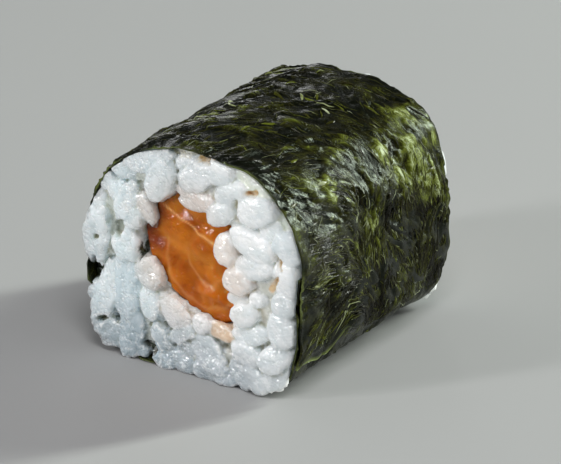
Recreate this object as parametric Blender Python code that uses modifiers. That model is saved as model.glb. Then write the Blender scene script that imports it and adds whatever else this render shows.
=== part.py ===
"""Salmon maki roll: a seaweed sheet rolled round sushi rice with a strip of raw salmon in the middle.

The roll lies on its side on a flat stretch of the sheet. Its axis runs along Y, the two knife-cut
faces look along -Y and +Y, and the origin is under the middle of the roll. Units are metres.

Objects: nori (the sheet), rice (the cooked rice) and salmon (the filling).
"""

import math
import random
from dataclasses import dataclass

import bmesh
import bpy
from mathutils import Matrix, Vector, noise

MM = 0.001

# Driving dimensions
ROLL_WIDTH = 27.2 * MM  # over the first turn of the sheet, without the flap and the relief
ROLL_HEIGHT = 25.9 * MM
ROLL_LENGTH = 28.9 * MM  # between the two cut edges of the sheet
PRESSED_FLAT = 0.06 * MM  # how much of its round underside the board has pressed flat
SHEET_THICKNESS = 0.35 * MM
SHEET_LAYER_GAP = 0.12 * MM  # between the flap and the turn that it lies on
SHEET_LAYER = SHEET_THICKNESS + SHEET_LAYER_GAP
FOOD_GAP = 0.3 * MM  # kept between rice and sheet, and between rice and salmon
RICE_INSET = SHEET_THICKNESS + FOOD_GAP  # the rice's side, in from the outer face of the sheet
GRAIN_LENGTH = 4.8 * MM
GRAIN_WIDTH = 2.8 * MM
CORE_STEP = 0.1 * MM  # the grains at the rim stand this far out from the core's side
FACE_DEPTH = 1.1 * MM  # how far the bare rice lies behind the edge of the sheet
GRAIN_PROUD = 0.6 * MM  # how far the proudest grains stand out past that edge
SALMON_DEPTH = 0.9 * MM  # how far the salmon's cut face lies behind the edge of the sheet
SALMON_EDGE = 0.5 * MM  # rounding of the salmon's cut edges

# The sheet's turn, as angles seen from the -Y end, anticlockwise from +X
FLAP_END_ANGLE = math.radians(-35)  # the loose outer edge, low on the +X side
OVERLAP_ANGLE = math.radians(42)  # how far the flap covers the first turn
LIFT_ANGLE = math.radians(60)  # the stretch over which the sheet climbs onto itself

# Relief of the sheet over the grains
BUMP_SPACING = 4.2 * MM
BUMP_HEIGHT = 0.5 * MM
FLAT_BELOW = 0.2 * MM  # no relief up to this height, so that the roll rests flat
RELIEF_RISE = 2.0 * MM  # the height over which it grows to its full size

# Steps of the meshes
SHEET_STEPS_ROUND = 66
SHEET_STEPS_ALONG = 13
RICE_STEPS_ROUND = 48
RICE_STEPS_ALONG = 8
SALMON_STEPS_ROUND = 32
EDGE_TURNS = tuple(math.radians(turn) for turn in (0, 45, 90))
GRAIN_SEGMENTS = 6
GRAIN_RINGS = 4
RING_SAMPLES = 90

# How the grains lie on the cut faces
RING_SHARES = (0.13, 0.47, 0.82)  # where the rings of grains lie between salmon and sheet
GRAIN_PITCH = 3.3 * MM  # distance between grains along a ring
JITTER = 0.22  # how far a grain strays from its even place, in pitches and in widths
SIZE_SPREAD = 0.12
TURN_SPREAD = math.radians(40)
LEAN_SPREAD = math.radians(12)
SEED = 11


@dataclass(frozen=True)
class Section:
    """A rounded outline in the XZ plane: four quarter superellipses that meet on its two axes.

    The powers go anticlockwise from the quarter between the first axis and the second one.
    A power of 2 is an ellipse, and a higher one a squarer corner.
    """

    centre: Vector
    half_width: float
    half_height: float
    tilt: float
    powers: tuple

    def point(self, angle, outset=0.0):
        """The outline's point in a direction from the centre, moved along the outline's normal."""
        across = math.cos(angle - self.tilt)
        up = math.sin(angle - self.tilt)
        power = self.powers[int(((angle - self.tilt) % math.tau) / (math.pi / 2)) % 4]
        share = abs(across / self.half_width) ** power + abs(up / self.half_height) ** power
        radius = share ** (-1 / power)
        local = Vector((across, up)) * radius
        normal = Vector(
            (
                math.copysign(abs(local.x / self.half_width) ** (power - 1), across) / self.half_width,
                math.copysign(abs(local.y / self.half_height) ** (power - 1), up) / self.half_height,
            )
        ).normalized()
        return self.centre + Matrix.Rotation(self.tilt, 2) @ (local + normal * outset)


ROLL = Section(
    centre=Vector((-SHEET_LAYER / 2, ROLL_HEIGHT / 2 - PRESSED_FLAT)),
    half_width=ROLL_WIDTH / 2,
    half_height=ROLL_HEIGHT / 2,
    tilt=0.0,
    powers=(2.75, 2.25, 4.6, 4.0),
)
SALMON = Section(
    centre=Vector((-0.4 * MM, 13.9 * MM)),
    half_width=6.0 * MM,
    half_height=8.3 * MM,
    tilt=math.radians(28),
    powers=(2.7, 2.1, 1.5, 2.4),
)


def clear_scene():
    """Remove every object of the scene that the script starts in."""
    for item in list(bpy.data.objects):
        bpy.data.objects.remove(item, do_unlink=True)


def new_collection(name):
    """A new collection in the scene."""
    made = bpy.data.collections.new(name)
    bpy.context.scene.collection.children.link(made)
    return made


def new_material(name, colour, roughness):
    """A plain material with a colour and a roughness."""
    made = bpy.data.materials.new(name)
    made.use_nodes = True
    shader = made.node_tree.nodes["Principled BSDF"]
    shader.inputs["Base Color"].default_value = (*colour, 1.0)
    shader.inputs["Roughness"].default_value = roughness
    shader.inputs["Metallic"].default_value = 0.0
    return made


def new_object(name, mesh_builder, collection, material=None):
    """An object in the collection, with the mesh that a bmesh holds."""
    mesh = bpy.data.meshes.new(name)
    mesh_builder.to_mesh(mesh)
    mesh_builder.free()
    made = bpy.data.objects.new(name, mesh)
    collection.objects.link(made)
    if material:
        mesh.materials.append(material)
    return made


def make_helper(item):
    """Keep an object out of the render, as a cutter that others are shaped by."""
    item.hide_render = True
    item.display_type = "WIRE"
    return item


def bridge(mesh_builder, rows, closed):
    """Join rows of vertices, each as long as the next, with quads."""
    for row, following in zip(rows, rows[1:]):
        count = len(row)
        for i in range(count if closed else count - 1):
            j = (i + 1) % count
            mesh_builder.faces.new((row[i], row[j], following[j], following[i]))


def loft(stations):
    """A closed solid through rings of points along Y, with flat triangulated ends."""
    made = bmesh.new()
    rows = [[made.verts.new(point) for point in ring] for ring in stations]
    bridge(made, rows, closed=True)
    made.faces.new(rows[0])
    made.faces.new(list(reversed(rows[-1])))
    bmesh.ops.recalc_face_normals(made, faces=made.faces)
    bmesh.ops.triangulate(made, faces=made.faces)
    return made


def section_ring(section, steps, y, outset=0.0):
    """One ring of points on a section, at a place along the roll."""
    points = (section.point(math.tau * i / steps, outset) for i in range(steps))
    return [Vector((point.x, y, point.y)) for point in points]


def smooth_step(value):
    """0 below 0, 1 above 1, and an S-curve between them."""
    value = min(max(value, 0.0), 1.0)
    return value * value * (3 - 2 * value)


def sheet_relief(point, y):
    """How far the grains underneath push the sheet out at a point of its section."""
    lump = 0.5 + noise.noise(Vector((point.x, y, point.y)) / BUMP_SPACING)
    lump = min(max(lump, 0.0), 1.0)
    return BUMP_HEIGHT * lump * smooth_step((point.y - FLAT_BELOW) / RELIEF_RISE)


def sheet_point(turned, y, outset=0.0):
    """A point on the outer face of the sheet, some angle on from its inner end, or off that face.

    The first turn lies on the roll's section. Near its end the sheet climbs by one layer, so that
    the flap lies over the start.
    """
    angle = FLAP_END_ANGLE + OVERLAP_ANGLE - turned
    climb = SHEET_LAYER * smooth_step((turned - math.tau + LIFT_ANGLE) / LIFT_ANGLE)
    relief = sheet_relief(ROLL.point(angle), y)
    point = ROLL.point(angle, climb + relief + outset)
    return Vector((point.x, y, max(point.y, 0.0)))


def rice_ring(y, inset):
    """A ring of points on the side of the rice, which follows the inside of the sheet."""
    return [sheet_point(math.tau * i / RICE_STEPS_ROUND, y, -inset) for i in range(RICE_STEPS_ROUND)]


def build_nori(collection, material):
    """The sheet: one turn and a flap that laps over its start, with its inner end hidden below."""
    made = bmesh.new()
    whole_turn = math.tau + OVERLAP_ANGLE
    rows = []
    for along in range(SHEET_STEPS_ALONG + 1):
        y = ROLL_LENGTH * (along / SHEET_STEPS_ALONG - 0.5)
        turns = (whole_turn * i / SHEET_STEPS_ROUND for i in range(SHEET_STEPS_ROUND + 1))
        rows.append([made.verts.new(sheet_point(turned, y)) for turned in turns])
    bridge(made, rows, closed=False)
    sheet = new_object("nori", made, collection, material)
    sheet.data.shade_smooth()
    shell = sheet.modifiers.new("thickness", "SOLIDIFY")
    shell.thickness = SHEET_THICKNESS
    shell.offset = -1.0
    shell.use_even_offset = True
    return sheet


def build_salmon(collection, material):
    """The filling: a strip of salmon that runs through the roll, its cut edges a little rounded."""
    half = ROLL_LENGTH / 2 - SALMON_DEPTH
    shrinks = [(half - SALMON_EDGE * (1 - math.sin(t)), SALMON_EDGE * (1 - math.cos(t))) for t in EDGE_TURNS]
    ends = [(-y, shrink) for y, shrink in reversed(shrinks)]
    stations = [section_ring(SALMON, SALMON_STEPS_ROUND, y, -shrink) for y, shrink in ends + shrinks]
    strip = new_object("salmon", loft(stations), collection, material)
    strip.data.shade_smooth()
    strip.data.set_sharp_from_angle(angle=math.radians(40))
    return strip


def add_grain(collection, centre, direction, lean, length, width):
    """A grain of rice: a low-sided ellipsoid lying in a cut face, one end a little further out."""
    made = bmesh.new()
    bmesh.ops.create_uvsphere(made, u_segments=GRAIN_SEGMENTS, v_segments=GRAIN_RINGS, radius=0.5)
    size = Matrix.Diagonal((width, width, length, 1.0))
    lay_down = Matrix.Rotation(math.pi / 2, 4, "Y")
    tip_out = Matrix.Rotation(lean, 4, "Z")
    turn = Matrix.Rotation(-direction, 4, "Y")
    placed = Matrix.Translation(centre) @ turn @ tip_out @ lay_down @ size
    bmesh.ops.transform(made, matrix=placed, verts=made.verts)
    return new_object("grain", made, collection)


def ring_at(ring, distance):
    """The place and the direction of a closed ring of points at a distance along it."""
    for point, following in zip(ring, ring[1:] + ring[:1]):
        side = following - point
        if distance <= side.length:
            return point + side.normalized() * distance, math.atan2(side.y, side.x)
        distance -= side.length
    return ring[0], 0.0


def grain_spots(share, draw):
    """Places and directions of the grains of one ring, at even steps along it but for a jitter.

    The ring's share says where it lies between the salmon (0) and the inside of the sheet (1).
    """
    turns = [math.tau * i / RING_SAMPLES for i in range(RING_SAMPLES)]
    ring = [SALMON.point(turn).lerp(ROLL.point(turn, -RICE_INSET), share) for turn in turns]
    around = sum((following - point).length for point, following in zip(ring, ring[1:] + ring[:1]))
    count = round(around / GRAIN_PITCH)
    start = draw.random()
    for i in range(count):
        step = i + start + draw.uniform(-JITTER, JITTER)
        place, direction = ring_at(ring, (around * step / count) % around)
        outward = Vector((math.sin(direction), -math.cos(direction)))
        yield place + outward * GRAIN_WIDTH * draw.uniform(-JITTER, JITTER), direction


def scatter_grains(collection, side, draw):
    """Rings of grains on one cut face, from the salmon out to the sheet."""
    for share in RING_SHARES:
        for spot, along_ring in grain_spots(share, draw):
            size = draw.uniform(1 - SIZE_SPREAD, 1 + SIZE_SPREAD)
            width = GRAIN_WIDTH * size
            proud = draw.uniform(-GRAIN_PROUD, GRAIN_PROUD)
            centre = Vector((spot.x, side * (ROLL_LENGTH / 2 + proud - width / 2), spot.y))
            direction = along_ring + draw.gauss(0.0, TURN_SPREAD)
            lean = draw.uniform(-LEAN_SPREAD, LEAN_SPREAD)
            add_grain(collection, centre, direction, lean, GRAIN_LENGTH * size, width)


def apply_modifiers(item):
    """Replace an object's mesh by what its modifiers make of it."""
    graph = bpy.context.evaluated_depsgraph_get()
    shaped = bpy.data.meshes.new_from_object(item.evaluated_get(graph))
    item.modifiers.clear()
    item.data = shaped


def keep_main_shell(item):
    """Fill sealed hollows and drop loose scraps, by keeping the one shell with the most faces."""
    made = bmesh.new()
    made.from_mesh(item.data)
    unseen = set(made.verts)
    shells = []
    while unseen:
        shell = {unseen.pop()}
        edge_of_search = list(shell)
        while edge_of_search:
            vertex = edge_of_search.pop()
            for edge in vertex.link_edges:
                other = edge.other_vert(vertex)
                if other in unseen:
                    unseen.remove(other)
                    shell.add(other)
                    edge_of_search.append(other)
        shells.append(shell)
    shells.sort(key=len)
    for shell in shells[:-1]:
        bmesh.ops.delete(made, geom=list(shell), context="VERTS")
    made.to_mesh(item.data)
    made.free()


def combine(item, name, operation, other):
    """Join an object with every object of a collection, or cut it by another object."""
    boolean = item.modifiers.new(name, "BOOLEAN")
    boolean.operation = operation
    boolean.solver = "EXACT"
    if operation == "UNION":
        boolean.operand_type = "COLLECTION"
        boolean.collection = other
    else:
        boolean.object = other
    apply_modifiers(item)


def even_stations(reach):
    """Places along the roll from one end to the other, for the rings of the rice's side."""
    return [reach * (2 * i / RICE_STEPS_ALONG - 1) for i in range(RICE_STEPS_ALONG + 1)]


def build_rice(collection, cutters, material):
    """The rice: a solid core with grains fused on both cut faces, cut back from sheet and salmon."""
    core_ends = ROLL_LENGTH / 2 - FACE_DEPTH
    core = loft([rice_ring(y, RICE_INSET + CORE_STEP) for y in even_stations(core_ends)])
    rice = new_object("rice", core, collection, material)

    grains = new_collection("grains")
    draw = random.Random(SEED)
    for side in (-1, 1):
        scatter_grains(grains, side, draw)
    combine(rice, "grains", "UNION", grains)
    for grain in list(grains.objects):
        bpy.data.objects.remove(grain, do_unlink=True)
    bpy.data.collections.remove(grains)

    past_grains = ROLL_LENGTH / 2 + GRAIN_WIDTH
    sleeve = loft([rice_ring(y, RICE_INSET) for y in even_stations(past_grains)])
    sleeve = make_helper(new_object("inside_of_sheet", sleeve, cutters))
    combine(rice, "inside_of_sheet", "INTERSECT", sleeve)
    ends = (-past_grains, past_grains)
    hole = loft([section_ring(SALMON, SALMON_STEPS_ROUND, y, FOOD_GAP) for y in ends])
    hole = make_helper(new_object("room_for_salmon", hole, cutters))
    combine(rice, "room_for_salmon", "DIFFERENCE", hole)
    keep_main_shell(rice)
    return rice


def main():
    """Build the roll."""
    clear_scene()
    roll = new_collection("salmon_maki_roll")
    cutters = new_collection("cutters")
    build_nori(roll, new_material("nori_green", (0.018, 0.028, 0.008), 0.45))
    build_salmon(roll, new_material("salmon_orange", (0.72, 0.22, 0.05), 0.35))
    build_rice(roll, cutters, new_material("rice_white", (0.82, 0.83, 0.80), 0.4))


main()
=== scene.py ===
"""The look of the salmon maki roll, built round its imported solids.

The roll lies on its side along Y with the knife-cut face that shows looking along -Y. Sizes are in
millimetres, and the meshes are made in metres. On the cut face, across is to the right (+X) and up
is +Z, both from the origin under the middle of the roll. In the sheet, along is the length round the
roll from the sheet's inner end, and y is the place along the roll.
"""

import logging
import math
from dataclasses import dataclass, field, replace
from enum import Enum
from typing import Any, Iterable, Sequence

import bmesh
import bpy
import numpy as np
from mathutils import Matrix, Vector, noise
from mathutils.geometry import delaunay_2d_cdt


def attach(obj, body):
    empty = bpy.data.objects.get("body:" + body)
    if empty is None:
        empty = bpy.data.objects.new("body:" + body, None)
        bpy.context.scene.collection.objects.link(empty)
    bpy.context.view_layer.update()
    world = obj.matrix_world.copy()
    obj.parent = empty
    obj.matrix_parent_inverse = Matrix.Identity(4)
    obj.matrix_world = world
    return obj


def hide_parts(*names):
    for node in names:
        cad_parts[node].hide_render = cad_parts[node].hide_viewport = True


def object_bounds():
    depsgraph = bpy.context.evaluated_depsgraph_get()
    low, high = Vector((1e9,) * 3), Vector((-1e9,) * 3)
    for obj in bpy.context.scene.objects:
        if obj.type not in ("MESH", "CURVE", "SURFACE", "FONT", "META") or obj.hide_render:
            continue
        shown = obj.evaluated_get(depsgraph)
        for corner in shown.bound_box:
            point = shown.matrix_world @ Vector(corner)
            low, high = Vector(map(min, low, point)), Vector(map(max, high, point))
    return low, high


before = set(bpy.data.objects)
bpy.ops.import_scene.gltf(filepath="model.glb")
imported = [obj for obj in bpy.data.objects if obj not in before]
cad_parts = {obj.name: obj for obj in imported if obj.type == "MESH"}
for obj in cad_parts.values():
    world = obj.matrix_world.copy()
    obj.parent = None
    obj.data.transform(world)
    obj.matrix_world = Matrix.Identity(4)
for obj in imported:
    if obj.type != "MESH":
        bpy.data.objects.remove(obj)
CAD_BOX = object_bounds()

LOG = logging.getLogger("maki_roll")
MM = 0.001
TINY = 1e-6
BODY = "root"
FRACTAL_FALL = 0.8
OCTAVE_STEP = 2.0
ONLY_INSIDE = 1
Span = tuple[float, float]
Triple = tuple[float, float, float]
Colour = Triple
Array, Generator = np.ndarray, np.random.Generator
Mesh, Object = bpy.types.Mesh, bpy.types.Object
Material, Socket = bpy.types.Material, bpy.types.NodeSocket


# ---- Helpers for numbers, meshes and materials ----


def smooth_step(value: Array | float) -> Array | float:
    """0 below 0, 1 above 1, and an S-curve between them."""
    value = np.clip(value, 0.0, 1.0)
    return value * value * (3 - 2 * value)


def fade(value: Array | float, start: float, length: float) -> Array | float:
    """0 up to a start and 1 a length past it; with a length below 0, 1 that much before it."""
    return smooth_step((value - start) / length)


def bell(value: Array, middle: float, width: Array | float) -> Array:
    """1 at a middle value, falling off to both sides over a width."""
    return np.exp(-(((value - middle) / width) ** 2))


def lumps(points: Array, spacing: float, octaves: int = 1, seed: float = 0.0) -> Array:
    """Smooth noise at many points.

    Args:
        points: Rows of x, y and z in millimetres.
        spacing: Size of one lump in millimetres.
        octaves: 1 for plain noise, more for finer lumps on the first ones.
        seed: Offset that gives another pattern.

    Returns:
        One value for each point, mostly between -0.5 and 0.5.
    """
    places = (points / spacing + seed).tolist()
    if octaves == 1:
        return np.array([noise.noise(place) for place in places])
    return np.array([noise.fractal(place, FRACTAL_FALL, OCTAVE_STEP, octaves) for place in places])


def cobbles(points: Array, spacing: float, seed: float = 0.0) -> Array:
    """Rounded bumps with creases between them, like packed pebbles.

    Args:
        points: Rows of x, y and z in millimetres.
        spacing: Size of one bump in millimetres.
        seed: Offset that gives another pattern.

    Returns:
        One value for each point, 0.5 on top of a bump and below 0 in its creases.
    """
    places = points / spacing + seed
    return np.array([0.5 - noise.voronoi(place)[0][0] for place in places.tolist()])


def in_sheet(along: Array, y: Array, depth: float = 0.0) -> Array:
    """Places of the sheet laid flat, as rows of along, y and depth."""
    return np.stack((along, y, np.full_like(y, depth)), axis=-1)


def lay(spots: Array, y: Array | float) -> Array:
    """Spots of the roll's section (across and up) at places along it, as rows of x, y and z."""
    return np.stack((spots[:, 0], np.broadcast_to(y, len(spots)), spots[:, 1]), axis=-1)


def link(item: Object) -> Object:
    """Put an object in the scene."""
    bpy.context.scene.collection.objects.link(item)
    return item


def mesh_piece(
    name: str, points: Array, faces: Sequence, material: Material | None = None
) -> Object:
    """Make an object of the scene from points and faces.

    Args:
        name: The piece's name.
        points: Rows of x, y and z in millimetres.
        faces: Vertex numbers of each face.
        material: Its finish, if it keeps one.

    Returns:
        The new object, smooth shaded.
    """
    mesh = bpy.data.meshes.new(name)
    mesh.from_pydata((points * MM).tolist(), [], faces if isinstance(faces, list) else faces.tolist())
    mesh.shade_smooth()
    if material:
        mesh.materials.append(material)
    return link(bpy.data.objects.new(name, mesh))


def store(mesh: Mesh, name: str, values: Array) -> None:
    """Keep values on a mesh's vertices, where its material reads them.

    Args:
        mesh: The mesh.
        name: The attribute's name.
        values: One number, or one row of three, for each vertex.
    """
    kind, key = ("FLOAT", "value") if values.ndim == 1 else ("FLOAT_VECTOR", "vector")
    layer = mesh.attributes.new(name, kind, "POINT")
    layer.data.foreach_set(key, values.astype(np.float32).ravel())


def read_rows(mesh: Mesh, key: str) -> Array:
    """Read a vector of each vertex.

    Args:
        mesh: The mesh.
        key: "co" for its place in metres, "normal" for its normal.

    Returns:
        One row of three for each vertex.
    """
    flat = np.empty(len(mesh.vertices) * 3, dtype=np.float32)
    mesh.vertices.foreach_get(key, flat)
    return flat.reshape(-1, 3).astype(np.float64)


def read_points(mesh: Mesh) -> Array:
    """A mesh's vertices in millimetres, one row each."""
    return read_rows(mesh, "co") / MM


def read_normals(mesh: Mesh) -> Array:
    """The normals of a mesh's vertices, one row each."""
    return read_rows(mesh, "normal")


def write_points(mesh: Mesh, points: Array) -> None:
    """Move a mesh's vertices to places given in millimetres."""
    mesh.vertices.foreach_set("co", (points * MM).astype(np.float32).ravel())
    mesh.update()


def relax(mesh: Mesh, values: Array, rounds: int, share: float = 0.5) -> Array:
    """Draw the values of each vertex towards the mean of its neighbours.

    Args:
        mesh: The mesh, whose edges say which vertices are neighbours.
        values: One row of three for each vertex.
        rounds: How many times all vertices are drawn.
        share: How much of the way they go each time.

    Returns:
        The smoothed rows.
    """
    pairs = np.empty(len(mesh.edges) * 2, dtype=np.int32)
    mesh.edges.foreach_get("vertices", pairs)
    one, other = pairs.reshape(-1, 2).T
    count = np.bincount(np.concatenate((one, other)), minlength=len(values))[:, None]
    for _ in range(rounds):
        total = np.zeros_like(values)
        for axis in range(3):
            total[:, axis] = np.bincount(one, values[other, axis], len(values))
            total[:, axis] += np.bincount(other, values[one, axis], len(values))
        values = values + share * (total / count - values)
    return values


def grid_faces(
    rows: int, columns: int, first: int = 0, closed: bool = False, flip: bool = False
) -> Array:
    """Quads between the points of a grid that is stored row by row.

    Args:
        rows: Number of rows.
        columns: Points in each row.
        first: Number of the grid's first point.
        closed: Whether the last column joins the first one.
        flip: Whether the faces look the other way.

    Returns:
        One row of four vertex numbers for each quad.
    """
    row = np.arange(rows - 1)[:, None] * columns
    column = np.arange(columns if closed else columns - 1)[None, :]
    following = (column + 1) % columns
    near, far = (row + column, row + following), (row + columns + following, row + columns + column)
    quads = np.stack(near + far, axis=-1).reshape(-1, 4) + first
    return quads[:, ::-1] if flip else quads


def enclosed(spots: Array, edges: Array) -> Array:
    """Which spots lie inside closed outlines.

    Args:
        spots: Rows of across and up.
        edges: For each edge of the outlines, its two ends.

    Returns:
        True for each spot from which a line to the right crosses the outlines an odd number of times.
    """
    x, z = spots[:, :1], spots[:, 1:]
    (x0, z0), (x1, z1) = edges[:, 0].T, edges[:, 1].T
    crossed = (z0 > z) != (z1 > z)
    rise = np.where(z1 == z0, 1.0, z1 - z0)
    return (crossed & (x0 + (z - z0) / rise * (x1 - x0) > x)).sum(axis=1) % 2 == 1


class Sketch:
    """The node tree of one material, written as short calls."""

    def __init__(self, name: str) -> None:
        """Start a material with its shader.

        Args:
            name: The material's name.
        """
        self.material = bpy.data.materials.new(name)
        self.material.use_nodes = True
        self.tree = self.material.node_tree
        self.shader = self.tree.nodes["Principled BSDF"]

    def _feed(self, socket: Socket, value: Any) -> None:
        """Fill a socket.

        Args:
            socket: The socket of a node's input.
            value: Another node's output to link it to, or its number, vector or colour.
        """
        if isinstance(value, Socket):
            self.tree.links.new(value, socket)
        elif isinstance(value, tuple) and socket.type == "RGBA":
            socket.default_value = (*value, 1.0)
        else:
            socket.default_value = value

    def node(self, kind: str, settings: dict[str, Any], inputs: dict[str | int, Any]) -> bpy.types.Node:
        """Add a node.

        Args:
            kind: The node's type.
            settings: Its own properties.
            inputs: What goes into its sockets, by their name or number.

        Returns:
            The node.
        """
        made = self.tree.nodes.new(kind)
        for key, value in settings.items():
            setattr(made, key, value)
        for key, value in inputs.items():
            self._feed(made.inputs[key], value)
        return made

    def attribute(self, name: str, output: str = "Fac") -> Socket:
        """A value that is kept on the vertices."""
        return self.node("ShaderNodeAttribute", {"attribute_name": name}, {}).outputs[output]

    def place(self) -> Socket:
        """The place in the object, in millimetres."""
        coordinates = self.node("ShaderNodeTexCoord", {}, {}).outputs["Object"]
        return self.stretch(coordinates, (1 / MM, 1 / MM, 1 / MM))

    def vector(self, operation: str, *values: Any) -> Socket:
        """One sum of a Vector Math node."""
        made = self.node("ShaderNodeVectorMath", {"operation": operation}, dict(enumerate(values)))
        return made.outputs[0]

    def stretch(self, vector: Any, by: Triple, move: float = 0.0) -> Socket:
        """Scale a vector along its axes, then move it by as much along each."""
        return self.vector("MULTIPLY_ADD", vector, by, (move, move, move))

    def noise(
        self, vector: Any, scale: float, detail: float, rough: float = 0.5, twist: float = 0.0
    ) -> Socket:
        """Smooth noise from 0 to 1 at a scale per unit of the vector."""
        inputs = dict(Vector=vector, Scale=scale, Detail=detail, Roughness=rough, Distortion=twist)
        return self.node("ShaderNodeTexNoise", {}, inputs).outputs["Fac"]

    def laid(self, vector: Any, turn: float, length: float, width: float) -> Socket:
        """A vector in units of strands of a length and width, which lie at an angle in degrees."""
        inputs = dict(Vector=vector, Rotation=(0.0, 0.0, math.radians(turn)), Scale=(length, width, 1.0))
        return self.node("ShaderNodeMapping", {"vector_type": "TEXTURE"}, inputs).outputs[0]

    def math(self, operation: str, *values: Any) -> Socket:
        """One sum of a Math node."""
        return self.node("ShaderNodeMath", {"operation": operation}, dict(enumerate(values))).outputs[0]

    def span(
        self, value: Any, low: float, high: float, to_low: float = 0.0, to_high: float = 1.0
    ) -> Socket:
        """Turn a range of a value into another range, with an S-curve and held ends.

        Args:
            value: The value.
            low: Where its range starts.
            high: Where its range ends.
            to_low: What it is at the start.
            to_high: What it is at the end.

        Returns:
            The new value.
        """
        inputs = {"Value": value, "From Min": low, "From Max": high, "To Min": to_low, "To Max": to_high}
        settings = {"interpolation_type": "SMOOTHSTEP"}
        return self.node("ShaderNodeMapRange", settings, inputs).outputs[0]

    def mix(self, share: Any, one: Any, other: Any, mode: str = "MIX") -> Socket:
        """A colour between two colours."""
        settings = {"data_type": "RGBA", "blend_type": mode, "clamp_factor": True}
        return self.node("ShaderNodeMix", settings, {0: share, 6: one, 7: other}).outputs[2]

    def ramp(self, value: Any, stops: Iterable[tuple[float, Colour]]) -> Socket:
        """A colour read from a row of colours.

        Args:
            value: Where to read, from 0 to 1.
            stops: The place and colour of each stop, lowest first.

        Returns:
            The colour.
        """
        made = self.node("ShaderNodeValToRGB", {}, {"Fac": value})
        elements = made.color_ramp.elements
        stops = list(stops)
        while len(elements) < len(stops):
            elements.new(1.0)
        for element, (at, colour) in zip(elements, stops):
            element.position = at
            element.color = (*colour, 1.0)
        return made.outputs["Color"]

    def bump(self, height: Any, depth: float) -> Socket:
        """The normal of fine relief, whose height is in units of a depth in millimetres."""
        inputs = {"Height": height, "Distance": depth * MM, "Strength": 1.0}
        return self.node("ShaderNodeBump", {}, inputs).outputs["Normal"]

    def finish(self, **inputs: Any) -> Material:
        """End the material at its shader.

        Args:
            **inputs: What goes into the shader's sockets, whose names are written with _ for a space.

        Returns:
            The material.
        """
        for key, value in inputs.items():
            self._feed(self.shader.inputs[key.replace("_", " ")], value)
        return self.material


# ---- The roll's form, as in its solids ----


@dataclass(frozen=True)
class Outline:
    """A rounded outline in the XZ plane: four quarter superellipses that meet on its two axes."""

    across: float
    up: float
    half_width: float
    half_height: float
    tilt: float
    powers: tuple[float, float, float, float]

    def points(self, angles: Array, outset: Array | float = 0.0) -> Array:
        """Points of the outline.

        Args:
            angles: Directions from the centre, anticlockwise from +X as seen from the -Y end.
            outset: How far each point is moved out along the outline's normal.

        Returns:
            Rows of across and up.
        """
        turn = angles - self.tilt
        c, s = np.cos(turn), np.sin(turn)
        power = np.array(self.powers)[((turn % math.tau) / (math.pi / 2)).astype(int) % 4]
        share = np.abs(c / self.half_width) ** power + np.abs(s / self.half_height) ** power
        radius = share ** (-1 / power)
        x, z = c * radius, s * radius
        out_x = np.copysign(np.abs(x / self.half_width) ** (power - 1), c) / self.half_width
        out_z = np.copysign(np.abs(z / self.half_height) ** (power - 1), s) / self.half_height
        length = np.hypot(out_x, out_z)
        x, z = x + out_x / length * outset, z + out_z / length * outset
        ct, st = math.cos(self.tilt), math.sin(self.tilt)
        return np.stack((self.across + x * ct - z * st, self.up + x * st + z * ct), axis=-1)

    def reach(self, x: Array, z: Array) -> tuple[Array, Array]:
        """Measure points and the outline from its centre.

        Args:
            x: How far across the points lie.
            z: How far up they lie.

        Returns:
            How far each point lies from the centre, and how far the outline does in its direction.
        """
        angle = np.arctan2(z - self.up, x - self.across)
        edge = self.points(angle) - (self.across, self.up)
        return np.hypot(x - self.across, z - self.up), np.hypot(edge[:, 0], edge[:, 1])


@dataclass(frozen=True)
class RollForm:
    """Where the sheet runs, with the relief that the grains press into it."""

    width: float = 27.2
    height: float = 25.9
    length: float = 28.9
    pressed_flat: float = 0.06
    layer: float = 0.47
    flap_end: float = math.radians(-35)
    overlap: float = math.radians(42)
    lift: float = math.radians(60)
    bump_spacing: float = 4.2
    bump_height: float = 0.5
    flat_below: float = 0.2
    relief_rise: float = 2.0
    powers: tuple[float, float, float, float] = (2.75, 2.25, 4.6, 4.0)

    @property
    def outline(self) -> Outline:
        """The section of the first turn's outer face."""
        up = self.height / 2 - self.pressed_flat
        return Outline(-self.layer / 2, up, self.width / 2, self.height / 2, 0.0, self.powers)

    @property
    def whole_turn(self) -> float:
        """The angle from the sheet's inner end to its loose edge."""
        return math.tau + self.overlap

    def sheet_points(
        self, turned: Array, y: Array, outset: Array | float = 0.0
    ) -> Array:
        """Points on the outer face of the sheet, or off that face.

        Args:
            turned: Angles from the sheet's inner end.
            y: Places along the roll.
            outset: How far out from the face.

        Returns:
            Rows of x, y and z.
        """
        angle = self.flap_end + self.overlap - turned
        section = self.outline.points(angle)
        climb = self.layer * smooth_step((turned - math.tau + self.lift) / self.lift)
        lump = lumps(lay(section, y), self.bump_spacing)
        rise = fade(section[:, 1], self.flat_below, self.relief_rise)
        relief = self.bump_height * np.clip(0.5 + lump, 0.0, 1.0) * rise
        moved = lay(self.outline.points(angle, climb + relief + outset), y)
        moved[:, 2] = np.maximum(moved[:, 2], 0.0)
        return moved


FORM = RollForm()
SALMON_OUTLINE = Outline(
    across=-0.4, up=13.9, half_width=6.0, half_height=8.3, tilt=math.radians(28),
    powers=(2.7, 2.1, 1.5, 2.4),
)


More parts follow.
